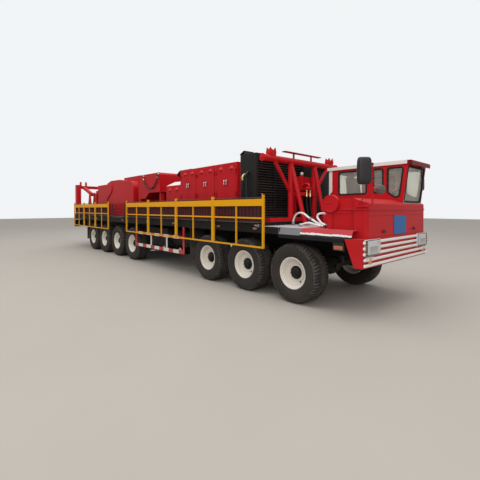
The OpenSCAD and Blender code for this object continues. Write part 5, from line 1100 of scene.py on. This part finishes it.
fittingShape = {
    "intake": [[0.15, 0.003], [0.146, 0.006], [0.132, 0.006], [0.128, 0.003], [0.128, 0.0003], [0.15, 0.0003]],
    "intakeBar": ((6.7, -1.113, 1.874), (6.865, -1.1003, 1.888)),
    "latch": [((5.21, -1.3605, 1.415), (5.345, -1.3503, 1.447), 0.004, 3),
              ((5.235, -1.3635, 1.421), (5.32, -1.36, 1.441), 0.002, 2)],
    "railHook": [(5.557, -1.462, 2.044), (5.557, -1.464, 2.062), (5.539, -1.464, 2.07), (5.525, -1.464, 2.058),
                 (5.525, -1.462, 2.044)],
    "strapHook": [(5.5, -1.466, 1.45), (5.47, -1.467, 1.462), (5.43, -1.467, 1.452), (5.4, -1.467, 1.43),
                  (5.42, -1.467, 1.412), (5.47, -1.467, 1.418), (5.5, -1.466, 1.44)],
    "tubeCap": [[0, 0.004], [0.052, 0.004], [0.058, 0.0], [0.0, 0.0]],
    "clamp": [[0.1205, 0.0], [0.1235, 0.004], [0.1235, 0.026], [0.1205, 0.03]], "clampX": (1.09, 1.34, 1.6),
}


def makeFittings(g):
    # intake ring and bar, deck latch, two hooks on the rail, tube end caps and clamps round the exhaust
    intake = [turned(g["intake"], 48, (6.84, -1.1, 1.86), "y", -1), softBox(*g["intakeBar"], 0.005, 3)]
    addPiece("intakeTrim", intake, "redPaint")
    addPiece("deckLatch", [softBox(*box) for box in g["latch"]], "zinc")
    addPiece("railHooks", [tube(smoothPath(g["railHook"], 5), 0.005, 8)], "zinc", body="railing_right")
    addPiece("strapHook", [tube(smoothPath(g["strapHook"], 5), 0.0032, 6)], "zinc", body="railing_right")
    addPiece("tubeCaps", [turned(g["tubeCap"], 32, (5.43, s * 1.3502, 2.82), "y", s) for s in (-1, 1)], "redPaint")
    addPiece("exhaustLip", [turned(g["clamp"], 48, (x, -0.52, 2.875), "x") for x in g["clampX"]], "blackPaint")


makeBolts(sideBolts, frontBolts)
makeFittings(fittingShape)
print("fasteners and fittings")

# World and floor


def makeWorld(look):
    # the camera sees one even sky; the light comes from a sky that grows brighter with height
    world = bpy.data.worlds.new("studio")
    bpy.context.scene.world = world
    world.use_nodes = True
    world.node_tree.nodes.clear()
    t = Tree(world.node_tree)
    high = t.axes(t.node("ShaderNodeTexCoord").outputs["Generated"])[2]
    glow = t.mix(t.span(high, -0.05, 0.65), (look["lowGlow"],) * 3, (look["highGlow"],) * 3)
    light = t.feed(t.node("ShaderNodeBackground"), {0: glow, 1: look["skyLight"]})
    seen = t.feed(t.node("ShaderNodeBackground"), {0: (*look["sky"], 1), 1: look["skyShown"]})
    path = t.node("ShaderNodeLightPath").outputs
    shown = t.math("MAXIMUM", path["Is Camera Ray"], path["Is Transmission Ray"])
    blend = t.feed(t.node("ShaderNodeMixShader"), {0: shown, 1: light.outputs[0], 2: seen.outputs[0]})
    t.link(blend.outputs[0], t.node("ShaderNodeOutputWorld").inputs[0])


def makeFloor(look):
    # a level grid that reaches 60 m each way
    mesh = bpy.data.meshes.new("floor")
    x, y = np.meshgrid(np.linspace(-60, 60, 13), np.linspace(-60, 60, 13), indexing="ij")
    mesh.from_pydata(np.stack([x, y, 0 * x], -1).reshape(-1, 3).tolist(), [], gridFaces(13, 13).tolist())
    floor = bpy.data.objects.new("floor", mesh)
    bpy.context.collection.objects.link(floor)
    m, t, bsdf = newLook("floorLook")
    tone = t.noise(t.place(), 0.7, 6, 0.6)
    darker = tuple(c * look["floorShade"] for c in look["floor"])
    t.feed(bsdf, {"Base Color": t.mix(tone, look["floor"], darker), "Roughness": 0.85})
    mesh.materials.append(m)


makeWorld(stageLook)
makeFloor(stageLook)
bpy.context.scene.view_settings.view_transform = "Standard"
